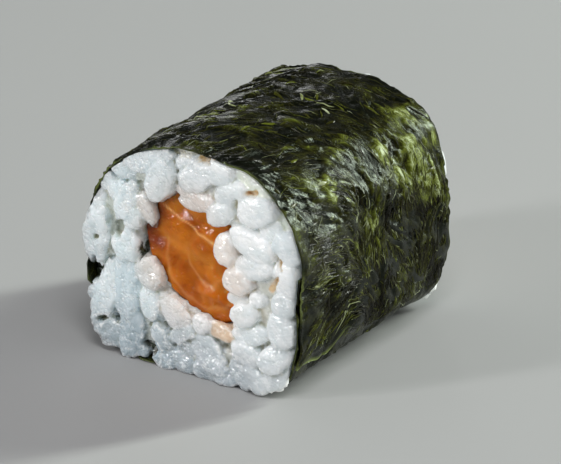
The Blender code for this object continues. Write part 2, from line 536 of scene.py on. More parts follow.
@dataclass(frozen=True)
class Lip:
    """Where the rice bulges over the sheet's cut edge: on the far side and below, as it was pressed.

    Start, end and notches are angles round the roll. Set back is how far the sheet's edge gives way
    to the bulge, which reaches out from the inside of the sheet, and elsewhere hardly does.
    """

    start: float = math.radians(158)
    end: float = math.radians(330)
    blend: float = math.radians(16)
    reach: float = 0.70
    elsewhere: float = 0.16
    set_back: float = 0.45
    clear: float = 0.02
    rise: float = 0.22
    ragged: float = 1.1
    ragged_spacing: float = 1.3
    notches: tuple[float, ...] = (math.radians(197), math.radians(245))
    notch_width: float = math.radians(6)
    notch_core: float = 0.6

    def share(self, angle: Array) -> Array:
        """How much the rice bulges over the edge.

        Args:
            angle: Angles round the roll.

        Returns:
            1 where it does and 0 elsewhere, for each angle.
        """
        turned = angle % math.tau
        share = fade(turned, self.start, self.blend) * fade(turned, self.end, -self.blend)
        for notch in self.notches:
            away = np.abs(turned - notch) / self.notch_width
            share = share * fade(away, self.notch_core, self.notch_core)
        return share


LIP = Lip()


@dataclass
class Sleeve:
    """The inside of the sheet, which holds the rice, measured from the middle of the roll."""

    inset: float
    angles: int = 240
    stations: int = 60
    overrun: float = 1.5
    turns: float = 0.999
    floor_gap: float = 0.03

    def __post_init__(self) -> None:
        """Measure how far the inside lies from the middle, in every direction and along the roll."""
        end = FORM.length / 2 + self.overrun
        self.y = np.linspace(-end, end, self.stations)
        self.angle = np.linspace(-math.pi, math.pi, self.angles)
        self.radius = np.empty((self.stations, self.angles))
        turned = np.linspace(0.0, math.tau * self.turns, self.angles)
        for row, y in enumerate(self.y):
            points = FORM.sheet_points(turned, np.full(self.angles, y), -self.inset)
            around, away = self._polar(points)
            order = np.argsort(around)
            self.radius[row] = np.interp(self.angle, around[order], away[order], period=math.tau)

    @staticmethod
    def _polar(points: Array) -> tuple[Array, Array]:
        """The angle round the roll and the distance from its middle of each point."""
        dx, dz = points[:, 0] - FORM.outline.across, points[:, 2] - FORM.outline.up
        return np.arctan2(dz, dx), np.hypot(dx, dz)

    def limit(self, angle: Array, y: Array) -> Array:
        """Read how far the inside lies from the middle of the roll.

        Args:
            angle: Angles round the roll, from -pi to pi.
            y: Places along the roll.

        Returns:
            The distance at each angle and place.
        """
        a = (angle + math.pi) / math.tau * (self.angles - 1)
        b = np.clip((y - self.y[0]) / (self.y[-1] - self.y[0]), 0, 1) * (self.stations - 1)
        a0 = np.minimum(a.astype(int), self.angles - 2)
        b0 = np.minimum(b.astype(int), self.stations - 2)
        fa, fb = a - a0, b - b0
        low = self.radius[b0, a0] * (1 - fa) + self.radius[b0, a0 + 1] * fa
        high = self.radius[b0 + 1, a0] * (1 - fa) + self.radius[b0 + 1, a0 + 1] * fa
        return low * (1 - fb) + high * fb

    def ring(self, count: int, y: float, inset: float = 0.0) -> Array:
        """Points round the inside of the sheet.

        Args:
            count: How many.
            y: Their place along the roll.
            inset: How far in from the inside they lie.

        Returns:
            Rows of x, y and z.
        """
        angle = np.linspace(-math.pi, math.pi, count, endpoint=False)
        radius = self.limit(angle, np.full(count, y)) - inset
        x = FORM.outline.across + radius * np.cos(angle)
        z = FORM.outline.up + radius * np.sin(angle)
        return lay(np.stack((x, z), axis=-1), y)

    def tube(
        self, stations: Sequence[float], count: int, inset: float, outset: float, flip: bool
    ) -> tuple[Array, Array]:
        """A closed tube between the inside of the sheet and the salmon.

        Args:
            stations: Places of its rings along the roll.
            count: Points in each ring.
            inset: How far it lies off the sheet.
            outset: How far it lies off the salmon.
            flip: Whether its faces look the other way.

        Returns:
            Rows of x, y and z, and the vertex numbers of each quad.
        """
        inner = SALMON_OUTLINE.points(np.linspace(-math.pi, math.pi, count, endpoint=False), outset)
        rows = [self.ring(count, y, inset) for y in stations]
        rows += [lay(inner, y) for y in (stations[-1], stations[0])]
        faces = grid_faces(len(rows) + 1, count, closed=True, flip=flip)
        return np.concatenate(rows), faces % (len(rows) * count)

    def hold(self, points: Array) -> Array:
        """Bring points that lie outside back to the inside of the sheet, or to the lip past its edge.

        Args:
            points: Rows of x, y and z.

        Returns:
            The rows, with those outside moved towards the middle of the roll.
        """
        angle, radius = self._polar(points)
        share = LIP.share(angle)
        past_edge = np.abs(points[:, 1]) - (FORM.length / 2 - LIP.set_back * share) - LIP.clear
        ragged = 1 + LIP.ragged * share * lumps(points, LIP.ragged_spacing, octaves=2, seed=51.0)
        bulge = (LIP.elsewhere + (LIP.reach - LIP.elsewhere) * share) * ragged
        limit = self.limit(angle, points[:, 1]) + bulge * smooth_step(past_edge / LIP.rise)
        kept = np.minimum(1.0, limit / np.maximum(radius, TINY))
        held = points.copy()
        held[:, 0] = FORM.outline.across + (points[:, 0] - FORM.outline.across) * kept
        held[:, 2] = FORM.outline.up + (points[:, 2] - FORM.outline.up) * kept
        held[:, 2] = np.maximum(held[:, 2], self.floor_gap)
        return held


# ---- Seaweed sheet ----


@dataclass(frozen=True)
class Flow:
    """Which way the fibres of the seaweed run.

    A heading is an angle in the sheet, in degrees from round the roll towards along it. Those listed
    hold near the cut face that shows, at such lengths along. Further back the fibres run round the
    roll. Each flake of seaweed strays from its heading by up to its spin.
    """

    lengths: tuple[float, ...] = (0.0, 45.0, 70.0, 77.0, 83.0, 94.0)
    headings: tuple[float, ...] = (20.0, 57.0, 42.0, 62.0, 112.0, 122.0)
    back_heading: float = 8.0
    front: Span = (-9.0, 11.0)
    stray: float = 0.9
    stray_spacing: float = 8.0
    flake: float = 4.5
    flake_depth: float = 0.5
    spin: float = 0.5
    spin_scatter: Span = (17.0, 31.0)
    drawn_out: float = 0.22
    shuffle: float = 9.0

    def heading(self, along: Array, y: Array) -> Array:
        """Find the fibres' direction.

        Args:
            along: Lengths round the roll.
            y: Places along the roll.

        Returns:
            The heading at each place, in radians.
        """
        front = 1 - fade(y, *self.front)
        listed = np.interp(along, self.lengths, self.headings)
        degrees = self.back_heading + front * (listed - self.back_heading)
        return np.radians(degrees) + self.stray * lumps(in_sheet(along, y), self.stray_spacing, seed=3.7)

    def ridges(self, along: Array, y: Array, width: float, seed: float) -> Array:
        """Noise that is drawn out along the fibres, in flakes that each lie their own way.

        Args:
            along: Lengths round the roll.
            y: Places along the roll.
            width: Width of one ridge.
            seed: Offset that gives another pattern.

        Returns:
            One value for each place, mostly between -0.5 and 0.5.
        """
        places = in_sheet(along, y, self.flake_depth) / self.flake + seed
        middles = np.array([tuple(noise.voronoi(place)[1][0]) for place in places.tolist()])
        local = (places - middles) * self.flake
        first, second = self.spin_scatter
        turn = self.heading(along, y) + np.sin(middles[:, 0] * first + middles[:, 1] * second) * self.spin
        course = local[:, 0] * np.cos(turn) + local[:, 1] * np.sin(turn)
        level = local[:, 1] * np.cos(turn) - local[:, 0] * np.sin(turn)
        moved = middles[:, :2] * self.shuffle
        drawn = (course * self.drawn_out + moved[:, 0], level + moved[:, 1], middles[:, 2])
        return lumps(np.stack(drawn, axis=-1), width, octaves=2, seed=seed)


@dataclass(frozen=True)
class Knob:
    """A bump that a grain or a fold pushes up in the sheet, with a painted highlight on it."""

    along: float
    y: float
    long: float
    wide: float
    height: float
    pale: float


# Pale is how strong the painted highlight on each knob is; those with no height are painted highlight
# only.
KNOBS = (
    Knob(76.5, -4.0, 0.9, 0.7, 0.20, 0.5),
    Knob(78.7, -6.2, 1.5, 1.2, 0.32, 0.75),
    Knob(79.3, 0.1, 1.3, 0.6, 0.26, 0.1),
    Knob(80.9, -1.2, 1.5, 0.9, 0.20, 0.3),
    Knob(78.3, 4.2, 1.4, 1.5, 0.32, 1.0),
    Knob(79.7, 8.8, 2.0, 1.4, 0.34, 1.0),
    Knob(81.6, 5.4, 1.3, 1.0, 0.26, 0.7),
    Knob(83.9, -0.8, 1.9, 1.3, 0.22, 0.8),
    Knob(83.4, 11.7, 3.2, 0.6, 0.30, 0.9),
    Knob(76.0, 11.0, 1.6, 1.2, 0.26, 0.6),
    Knob(61.0, 4.0, 1.4, 1.5, 0.26, 0.4),
    Knob(63.5, -1.5, 1.2, 1.2, 0.24, 0.5),
    Knob(89.5, -8.0, 1.2, 0.7, 0.20, 0.4),
    Knob(80.5, 9.5, 6.0, 5.0, 0.0, 0.55),
    Knob(77.0, -5.0, 5.0, 4.0, 0.0, 0.2),
    Knob(84.2, 11.0, 1.6, 1.4, 0.20, 0.7),
    Knob(30.0, 6.0, 1.8, 1.4, 0.26, 0.5),
    Knob(38.0, -5.0, 1.5, 1.2, 0.26, 0.5),
)


@dataclass(frozen=True)
class Mat:
    """One layer of flakes: how big a flake is, and how long and wide the strands in it are."""

    flake: float
    length: float
    width: float
    seed: float = 0.0
    sway: float = 1.8
    spin: float = 1.1
    shuffle: float = 40.0


@dataclass(frozen=True)
class NoriFinish:
    """Damp dark seaweed: pressed shreds in greens, brown and near black, with a wet gloss.

    A tone picks the colour between the stops. It starts at the ground, and each thing that makes the
    seaweed paler adds its share. Some of these are painted light: crests are painted lighter and valleys
    darker, knobs get painted highlights, and the top of the roll and its low flank get painted shade.
    seaweed paler adds its share.
    """

    black: Colour = (0.0022, 0.0026, 0.0006)
    brown: Colour = (0.0165, 0.0155, 0.0020)
    green: Colour = (0.049, 0.057, 0.0045)
    bright: Colour = (0.170, 0.200, 0.030)
    # The palest stop, reached by pale strands and by the painted highlights.
    pale: Colour = (0.44, 0.50, 0.29)
    # The sheet's thin cut edges and loose flap edge: partly their own paler green, partly painted light
    # shining through them.
    rim: Colour = (0.15, 0.18, 0.05)
    gloss: Colour = (0.82, 1.0, 0.78)
    stops: tuple[float, ...] = (0.32, 0.48, 0.62, 0.76, 0.92)
    ground: float = -0.355
    # Painted shade and light from the relief: valleys painted darker, crests lighter.
    relief_shade_share: float = 0.14
    patch_share: float = 1.15
    strand_share: float = 0.26
    flake_share: float = 0.08
    # How much the painted highlights and painted shade move the tone.
    painted_light_share: float = 0.27
    patch: Triple = (20.0, 4.6, 3.0)
    crumple: Triple = (30.0, 0.9, 0.45)
    crumple_depth: float = 1.5
    painted_light_crumple: float = 2.5
    edge_depth: float = -0.4
    relief: float = 0.013
    under: Mat = Mat(5.0, 3.6, 0.22)
    over: Mat = Mat(2.8, 2.4, 0.12, seed=7.3)

    def build(self) -> Material:
        """Make the material.

        Returns:
            The material.
        """
        s = Sketch("nori")
        flow, heading = s.attribute("fibre_flow", "Vector"), s.attribute("fibre_heading")
        crest, painted_light = s.attribute("crest"), s.attribute("painted_light")
        patches = s.noise(s.laid(flow, *self.patch), 1.0, 3.0, 0.6)
        under_tone, under, under_edge = self._mat(s, flow, heading, self.under)
        over_tone, over, over_edge = self._mat(s, flow, heading, self.over)
        above = s.span(over_tone, 0.42, 0.46)
        below = s.math("MULTIPLY", under, s.math("SUBTRACT", 1.0, above))
        strands = s.span(s.math("ADD", below, s.math("MULTIPLY", over, above)), 0.34, 0.66)
        # Painted shade: the sheet's valleys are painted darker and its crests lighter.
        tone = s.math("MULTIPLY_ADD", crest, self.relief_shade_share, self.ground)
        # Patches, strands and flakes are the seaweed's own; the painted light adds painted highlights and
        # shade.
        for part, share in (
            (patches, self.patch_share), (strands, self.strand_share),
            (under_tone, self.flake_share), (painted_light, self.painted_light_share),
        ):
            tone = s.math("MULTIPLY_ADD", part, share, tone)
        colours = (self.black, self.brown, self.green, self.bright, self.pale)
        # Paler green at the thin edges: partly their own colour, partly painted light shining through.
        colour = s.mix(s.attribute("rim"), s.ramp(tone, zip(self.stops, colours)), self.rim)
        crumple = s.noise(s.laid(flow, *self.crumple), 1.0, 3.0, 0.6, 0.3)
        crumpled = s.math("MULTIPLY_ADD", painted_light, self.painted_light_crumple, self.crumple_depth)
        height = s.math("MULTIPLY_ADD", s.math("ADD", under_edge, over_edge), self.edge_depth, strands)
        height = s.math("MULTIPLY_ADD", crumple, crumpled, height)
        return s.finish(
            Base_Color=colour, Roughness=s.span(patches, 0.35, 0.65, 0.15, 0.25),
            Normal=s.bump(height, self.relief),
            Specular_IOR_Level=0.22, Specular_Tint=self.gloss, IOR=1.45,
        )

    @staticmethod
    def _mat(s: Sketch, flow: Any, heading: Any, mat: Mat) -> tuple[Any, Any, Any]:
        """Flakes of strands, each lying its own way.

        Args:
            s: The material's sketch.
            flow: Place in the sheet, in millimetres.
            heading: Which way the fibres run there.
            mat: Sizes of the flakes and their strands.

        Returns:
            A number for each flake, the strands in it, and how far its middle is.
        """
        sway = s.node("ShaderNodeTexNoise", {}, {"Vector": flow, "Scale": 1.1, "Detail": 4.0})
        swayed = s.vector("MULTIPLY_ADD", sway.outputs["Color"], (mat.sway, mat.sway, 0.0), flow)
        scaled = s.stretch(swayed, (1 / mat.flake, 1 / mat.flake, 0.0), mat.seed)
        inputs = {"Vector": scaled, "Scale": 1.0}
        cell = s.node("ShaderNodeTexVoronoi", {"voronoi_dimensions": "2D"}, inputs)
        away, colour = cell.outputs["Distance"], cell.outputs["Color"]
        local = s.vector("SUBTRACT", scaled, cell.outputs["Position"])
        split = s.node("ShaderNodeSeparateColor", {}, {0: colour})
        turn = s.math("SUBTRACT", mat.spin / 2, heading)
        turn = s.math("MULTIPLY_ADD", split.outputs[1], -mat.spin, turn)
        inputs = {"Vector": local, "Angle": turn}
        turned = s.node("ShaderNodeVectorRotate", {"rotation_type": "Z_AXIS"}, inputs)
        drawn = s.stretch(turned.outputs[0], (mat.flake / mat.length, mat.flake / mat.width, 0.0))
        moved = s.vector("MULTIPLY_ADD", colour, (mat.shuffle, mat.shuffle, 0.0), drawn)
        return split.outputs[0], s.noise(moved, 1.0, 4.0, 0.62, 0.25), away


@dataclass(frozen=True)
class FibreFinish:
    """Loose threads of seaweed on the sheet, from brown over green to nearly white."""

    tones: tuple[Colour, ...] = (
        (0.003, 0.003, 0.001),
        (0.013, 0.011, 0.003),
        (0.035, 0.036, 0.004),
        (0.110, 0.130, 0.010),
        (0.44, 0.48, 0.30),
    )
    blotch_share: float = 0.3
    relief: float = 0.02

    def build(self) -> Material:
        """Make the material.

        Returns:
            The material.
        """
        s = Sketch("nori_fibres")
        blotch = s.noise(s.place(), 1.5, 2.0)
        blotched = s.math("SUBTRACT", blotch, 0.5)
        tone = s.math("MULTIPLY_ADD", blotched, self.blotch_share, s.attribute("shade"))
        stops = [(i / (len(self.tones) - 1), colour) for i, colour in enumerate(self.tones)]
        return s.finish(
            Base_Color=s.ramp(tone, stops), Roughness=s.span(blotch, 0.3, 0.7, 0.18, 0.32),
            Normal=s.bump(blotch, self.relief), Specular_IOR_Level=0.20, IOR=1.45,
        )


@dataclass
class NoriSheet:
    """The seaweed sheet, wound once round the rice with a flap over its start.

    A span is where something starts, and the length over which it grows.
    """

    finish: NoriFinish = field(default_factory=NoriFinish)
    flow: Flow = field(default_factory=Flow)
    thickness: float = 0.20
    step: float = 0.25
    sink: float = 0.15
    inner_relief: float = 0.35
    edge_wave: float = 0.12
    edge_spacing: float = 2.5
    edge_apart: float = 50.0
    flap_wave: float = 0.6
    flap_spacing: float = 5.0
    flap_step: float = 1.6
    flap_step_span: Span = (-8.0, 3.0)
    flap_hold: int = 8
    wrinkle: float = 0.60
    wrinkle_spacing: float = 1.3
    wrinkle_patch: float = 5.0
    wrinkle_strength: Span = (0.35, 1.1)
    fold_rise: float = 0.17
    grain_rise: float = 0.30
    grain_spacing: float = 2.9
    grain_lift: float = 0.2
    dip_below: float = -0.1
    dip_share: float = 0.3
    dip_rest: float = 0.07
    knob_reach: float = 1.35
    knob_sway: float = 0.5
    knob_spacing: float = 1.2
    crest_height: float = 0.3
    # Where shade is painted: on top of the roll and low on its flank.
    top_front: Span = (77.0, -4.0)
    top_back: Span = (54.0, 5.0)
    top_painted_shade: float = 0.33
    low_flank: Span = (84.0, 4.0)
    low_painted_shade: float = 0.22
    flap_rim: Span = (0.996, 0.003)
    flap_rim_end: Span = (-4.0, -3.0)
    cut_rim: Span = (0.994, 0.006)
    cut_rim_share: float = 0.6

    def build(self) -> Object:
        """Make the sheet as one closed shell.

        Returns:
            The sheet, with what its finish reads on its vertices.
        """
        rows = round(FORM.length / self.step) + 1
        columns = round(FORM.whole_turn * FORM.width / 2 / self.step) + 1
        shares = np.meshgrid(np.linspace(-1, 1, rows), np.linspace(0, 1, columns), indexing="ij")
        y_share, turn_share = (share.ravel() for share in shares)
        turned = turn_share * FORM.whole_turn
        along = turned * FORM.width / 2
        edge = in_sheet(along, np.sign(y_share) * self.edge_apart)
        set_back = LIP.set_back * LIP.share(FORM.flap_end + FORM.overlap - turned)
        set_back = set_back + self.edge_wave * (1 - 2 * lumps(edge, self.edge_spacing, seed=5.0))
        y = y_share * (FORM.length / 2 - set_back)
        turned = turned + turn_share**self.flap_hold * self._flap_wave(y) / (FORM.width / 2)
        outset = self.wrinkles(along, y)
        outer = FORM.sheet_points(turned, y, outset - self.sink)
        inner = FORM.sheet_points(turned, y, outset * self.inner_relief - self.thickness - self.sink)
        count = len(outer)
        outside, inside = grid_faces(rows, columns), grid_faces(rows, columns, first=count, flip=True)
        faces = np.concatenate((outside, inside, self._rim(rows, columns)))
        sheet = mesh_piece("nori_sheet", np.concatenate((outer, inner)), faces, self.finish.build())
        cut = fade(np.abs(y_share), *self.cut_rim) * smooth_step(lumps(edge, 5.0, seed=2.0) * 2 + 0.4)
        flap = fade(turn_share, *self.flap_rim) * fade(y, *self.flap_rim_end)
        for name, values in {
            "fibre_flow": in_sheet(along, y),
            "fibre_heading": self.flow.heading(along, y),
            # The relief's height, painted as shade in the valleys and light on the crests.
            "crest": np.clip(outset / self.crest_height, -1, 1),
            # Painted highlights on the knobs, and painted shade on top and low on the flank.
            "painted_light": self._painted_light(along, y),
            # Thin edges, paler: partly their own green, partly painted light shining through.
            "rim": np.maximum(cut * self.cut_rim_share, flap),
        }.items():
            store(sheet.data, name, np.concatenate((values, values)))
        return sheet

    def _flap_wave(self, y: Array) -> Array:
        """How much further round the loose edge lies at places along the roll."""
        wave = self.flap_wave * 2 * lumps(in_sheet(y, y * 0), self.flap_spacing, seed=8.0)
        return wave - self.flap_step * fade(y, *self.flap_step_span)

    def _painted_light(self, along: Array, y: Array) -> Array:
        """Find the painted light on the sheet: painted highlights on its knobs and painted shade.

        Args:
            along: Lengths round the roll.
            y: Places along the roll.

        Returns:
            1 on the knobs with the strongest painted highlight, and below 0 where shade is painted on top
            of the roll and low on its flank.
        """
        on_top = fade(along, *self.top_front) * fade(along, *self.top_back)
        below = fade(along, *self.low_flank)
        return self._knobs(along, y)[1] - self.top_painted_shade * on_top - self.low_painted_shade * below

    def wrinkles(self, along: Array, y: Array) -> Array:
        """Relief of the damp sheet: soft bumps over single grains, and ridges along its fibres.

        Args:
            along: Lengths round the roll.
            y: Places along the roll.

        Returns:
            How far out the sheet's face lies at each place.
        """
        places = in_sheet(along, y)
        grains = (cobbles(places, self.grain_spacing, seed=14.0) + self.grain_lift) * self.grain_rise
        folds = np.abs(self.flow.ridges(along, y, self.wrinkle_spacing, 2.0))
        least, more = self.wrinkle_strength
        strength = least + more * smooth_step(lumps(places, self.wrinkle_patch, seed=31.0) + 0.5)
        height = grains + self.wrinkle * strength * (self.fold_rise - folds) + self._knobs(along, y)[0]
        return np.where(height < self.dip_below, self.dip_share * height - self.dip_rest, height)

    def _knobs(self, along: Array, y: Array) -> tuple[Array, Array]:
        """Find the single bumps.

        Args:
            along: Lengths round the roll.
            y: Places along the roll.

        Returns:
            How high they stand at each place, and how pale they are there.
        """
        height, pale = np.zeros_like(y), np.zeros_like(y)
        sway = lumps(in_sheet(along, y), self.knob_spacing, octaves=2, seed=41.0)
        for knob in KNOBS:
            away = np.hypot((along - knob.along) / knob.long, (y - knob.y) / knob.wide)
            share = smooth_step(self.knob_reach - (away + sway * self.knob_sway))
            height = np.maximum(height, share * knob.height)
            pale = np.maximum(pale, share * knob.pale)
        return height, pale

    @staticmethod
    def _rim(rows: int, columns: int) -> Array:
        """Faces that close the four edges between the outer and the inner face.

        Args:
            rows: Rows of points in each face.
            columns: Points in each row.

        Returns:
            One row of four vertex numbers for each quad.
        """
        count = rows * columns
        bottom = np.arange(columns)
        top = (rows - 1) * columns + bottom
        left = np.arange(rows) * columns
        right = left + columns - 1
        strips = []
        for edge, flip in ((bottom, False), (top, True), (left, True), (right, False)):
            strip = np.stack((edge[:-1], edge[1:], edge[1:] + count, edge[:-1] + count), axis=-1)
            strips.append(strip[:, ::-1] if flip else strip)
        return np.concatenate(strips)


@dataclass(frozen=True)
class Strew:
    """One kind of loose bits on the sheet.

    They are strewn from a length along onwards, thinned out between clumps. Stray is how far they
    turn from the fibres, in radians, lift how high their middles rise, and shade how pale they are,
    with its spread.
    """

    count: int
    length: Span
    width: Span
    stray: float
    lift: float
    shade: float
    spread: float
    clump: float
    start: float = 12.0


@dataclass
class NoriFibres:
    """Strands, leafy shreds and pale threads that lie on the sheet and lift off it a little.

    Each is a narrow roof along its course. Its section lists how far across and how high the two
    eaves and the ridge lie, in widths.
    """

    sheet: NoriSheet
    finish: FibreFinish = field(default_factory=FibreFinish)
    stations: int = 5
    seed: int = 5
    section: tuple[Span, ...] = ((-0.5, -0.10), (0.0, 0.25), (0.5, -0.10))
    blunt: float = 0.01
    nearest: float = 0.01
    lifted: Span = (0.2, 1.0)
    margin: float = 0.3
    flap_margin: float = 0.8
    first_along: float = 0.5
    clump_spacing: float = 4.0
    shade_spacing: float = 3.4
    shade_share: float = 0.5
    shade_range: Span = (0.02, 0.98)
    curl: float = 0.05
    stray_curl: float = 0.1
    kinds: tuple[Strew, ...] = (
        Strew(4600, (1.0, 4.6), (0.04, 0.11), 0.20, 0.04, 0.27, 0.15, 0.6),
        Strew(3000, (1.2, 4.6), (0.045, 0.12), 0.16, 0.04, 0.33, 0.17, 0.4, 82.0),
        Strew(420, (0.7, 2.4), (0.16, 0.42), 0.55, 0.16, 0.56, 0.14, 1.0),
        Strew(260, (0.6, 2.6), (0.035, 0.06), 1.00, 0.16, 0.92, 0.10, 0.5),
        Strew(900, (0.4, 1.5), (0.03, 0.055), 0.45, 0.08, 0.74, 0.14, 0.9, 80.0),
    )

    def build(self) -> Object:
        """Make all bits in one mesh.

        Returns:
            The mesh's object, with the bits' shades on its vertices.
        """
        draw = np.random.default_rng(self.seed)
        points, shades = zip(*[self._bits(draw, kind) for kind in self.kinds])
        shades = np.concatenate(shades)
        per_bit = len(self.section) * self.stations
        starts = np.arange(len(shades))[:, None, None] * per_bit
        faces = (grid_faces(self.stations, len(self.section), flip=True)[None] + starts).reshape(-1, 4)
        piece = mesh_piece("nori_fibres", np.concatenate(points), faces, self.finish.build())
        store(piece.data, "shade", np.repeat(shades, per_bit))
        return piece

    def _bits(self, draw: Generator, kind: Strew) -> tuple[Array, Array]:
        """Shape one kind of bits.

        Args:
            draw: Where random numbers come from.
            kind: The kind.

        Returns:
            Rows of x, y and z, and the shade of each bit.
        """
        along, y, heading = self._courses(draw, kind)
        count = len(along)
        arch = np.sin(np.pi * np.linspace(0, 1, self.stations))[None, :]
        width = draw.uniform(*kind.width, count)[:, None] * np.sqrt(arch + self.blunt)
        raised = draw.uniform(*self.lifted, count)[:, None] * kind.lift * arch**2
        edges = []
        for across, up in self.section:
            a = along - np.sin(heading) * width * across
            b = y + np.cos(heading) * width * across
            edges.append(self._on_sheet(a, b, raised + up * width))
        half = self.stations // 2
        mottle = lumps(in_sheet(along[:, half], y[:, half]), self.shade_spacing, octaves=2, seed=9.0)
        shade = kind.shade + self.shade_share * mottle + draw.normal(0.0, kind.spread, count)
        return np.stack(edges, axis=2).reshape(-1, 3), np.clip(shade, *self.shade_range)

    def _courses(self, draw: Generator, kind: Strew) -> list[Array]:
        """Follow the sheet's fibres from scattered starts, with some stray.

        Args:
            draw: Where random numbers come from.
            kind: The kind of bits.

        Returns:
            Along, y and heading, each with a row for each bit and a column for each station.
        """
        around = FORM.whole_turn * FORM.width / 2
        reach = FORM.length / 2 - LIP.set_back - self.margin
        along = draw.uniform(kind.start, around - self.flap_margin, kind.count)
        y = draw.uniform(-reach, reach, kind.count)
        clump = lumps(in_sheet(along, y), self.clump_spacing, octaves=2, seed=17.0)
        kept = draw.uniform(-0.5, 0.5, kind.count) < clump + 0.5 - kind.clump * 0.5
        along, y = along[kept], y[kept]
        stray = draw.normal(0.0, kind.stray, len(y))
        curl = draw.normal(0.0, self.curl + self.stray_curl * kind.stray, len(y))
        step = draw.uniform(*kind.length, len(y)) / (self.stations - 1)
        rows = []
        for _ in range(self.stations):
            heading = self.sheet.flow.heading(along, y) + stray
            rows.append((along, y, heading))
            stray = stray + curl
            along = np.clip(along + np.cos(heading) * step, self.first_along, around - self.margin)
            y = np.clip(y + np.sin(heading) * step, -reach, reach)
        return [np.stack(values, axis=1) for values in zip(*rows)]

    def _on_sheet(self, along: Array, y: Array, height: Array) -> Array:
        """Put points on the wrinkled sheet.

        Args:
            along: Lengths round the roll.
            y: Places along the roll.
            height: How high over the sheet.

        Returns:
            A row of x, y and z for each place.
        """
        flat_along, flat_y = along.ravel(), y.ravel()
        outset = self.sheet.wrinkles(flat_along, flat_y) + height.ravel() - self.nearest - self.sheet.sink
        points = FORM.sheet_points(flat_along / (FORM.width / 2), flat_y, outset)
        return points.reshape(*along.shape, 3)


# ---- Salmon ----


@dataclass(frozen=True)
class SalmonFinish:
    """Raw salmon: wet, deep orange, with paler lines of fat.

    A share is how much of its colour a patch of gold, dark or fat has at most.
    """

    deep: Colour = (0.37, 0.082, 0.003)
    flesh: Colour = (0.53, 0.150, 0.006)
    gold: Colour = (0.62, 0.235, 0.028)
    dark: Colour = (0.19, 0.030, 0.004)
    fat: Colour = (0.86, 0.46, 0.17)
    gold_share: float = 0.7
    dark_share: float = 0.85
    fat_share: float = 0.8
    smooth_grain: float = 0.25
    rough_grain: float = 1.3
    relief: float = 0.07
    light_depth: float = 1.6
    light_spread: Colour = (1.0, 0.32, 0.12)

    def build(self) -> Material:
        """Make the material.

        Returns:
            The material.
        """
        s = Sketch("salmon")
        place = s.place()
        fat, gold, dark = s.attribute("fat"), s.attribute("gold"), s.attribute("dark")
        cloud = s.noise(place, 0.35, 2.0)
        colour = s.mix(s.span(cloud, 0.35, 0.65), self.deep, self.flesh)
        colour = s.mix(s.math("MULTIPLY", gold, self.gold_share), colour, self.gold)
        colour = s.mix(s.math("MULTIPLY", dark, self.dark_share), colour, self.dark)
        colour = s.mix(s.math("MULTIPLY", fat, self.fat_share), colour, self.fat)
        fibres = s.noise(s.stretch(place, (1.0, 0.3, 1.0)), 1.6, 1.5, 0.5, 0.8)
        grain = s.noise(place, 3.6, 0.5)
        patch = s.span(s.noise(place, 0.8, 1.0), 0.56, 0.64)
        grainy = s.math("MAXIMUM", s.math("MAXIMUM", fat, dark), patch)
        grain_height = s.math("MULTIPLY_ADD", grainy, self.rough_grain, self.smooth_grain)
        height = s.math("MULTIPLY_ADD", grain, grain_height, fibres)
        return s.finish(
            Base_Color=colour, Roughness=s.span(cloud, 0.3, 0.7, 0.06, 0.12),
            Normal=s.bump(height, self.relief), Subsurface_Weight=1.0,
            Subsurface_Radius=self.light_spread, Subsurface_Scale=self.light_depth * MM,
            Specular_IOR_Level=0.32, IOR=1.38,
        )


@dataclass(frozen=True)
class Seam:
    """A sloping line on the cut face of the salmon: a spot on it, its drop towards +X, and its width."""

    across: float
    up: float
    drop: float
    width: float

    def off(self, x: Array, z: Array) -> Array:
        """How far above the line points lie."""
        return z - self.up + self.drop * (x - self.across)


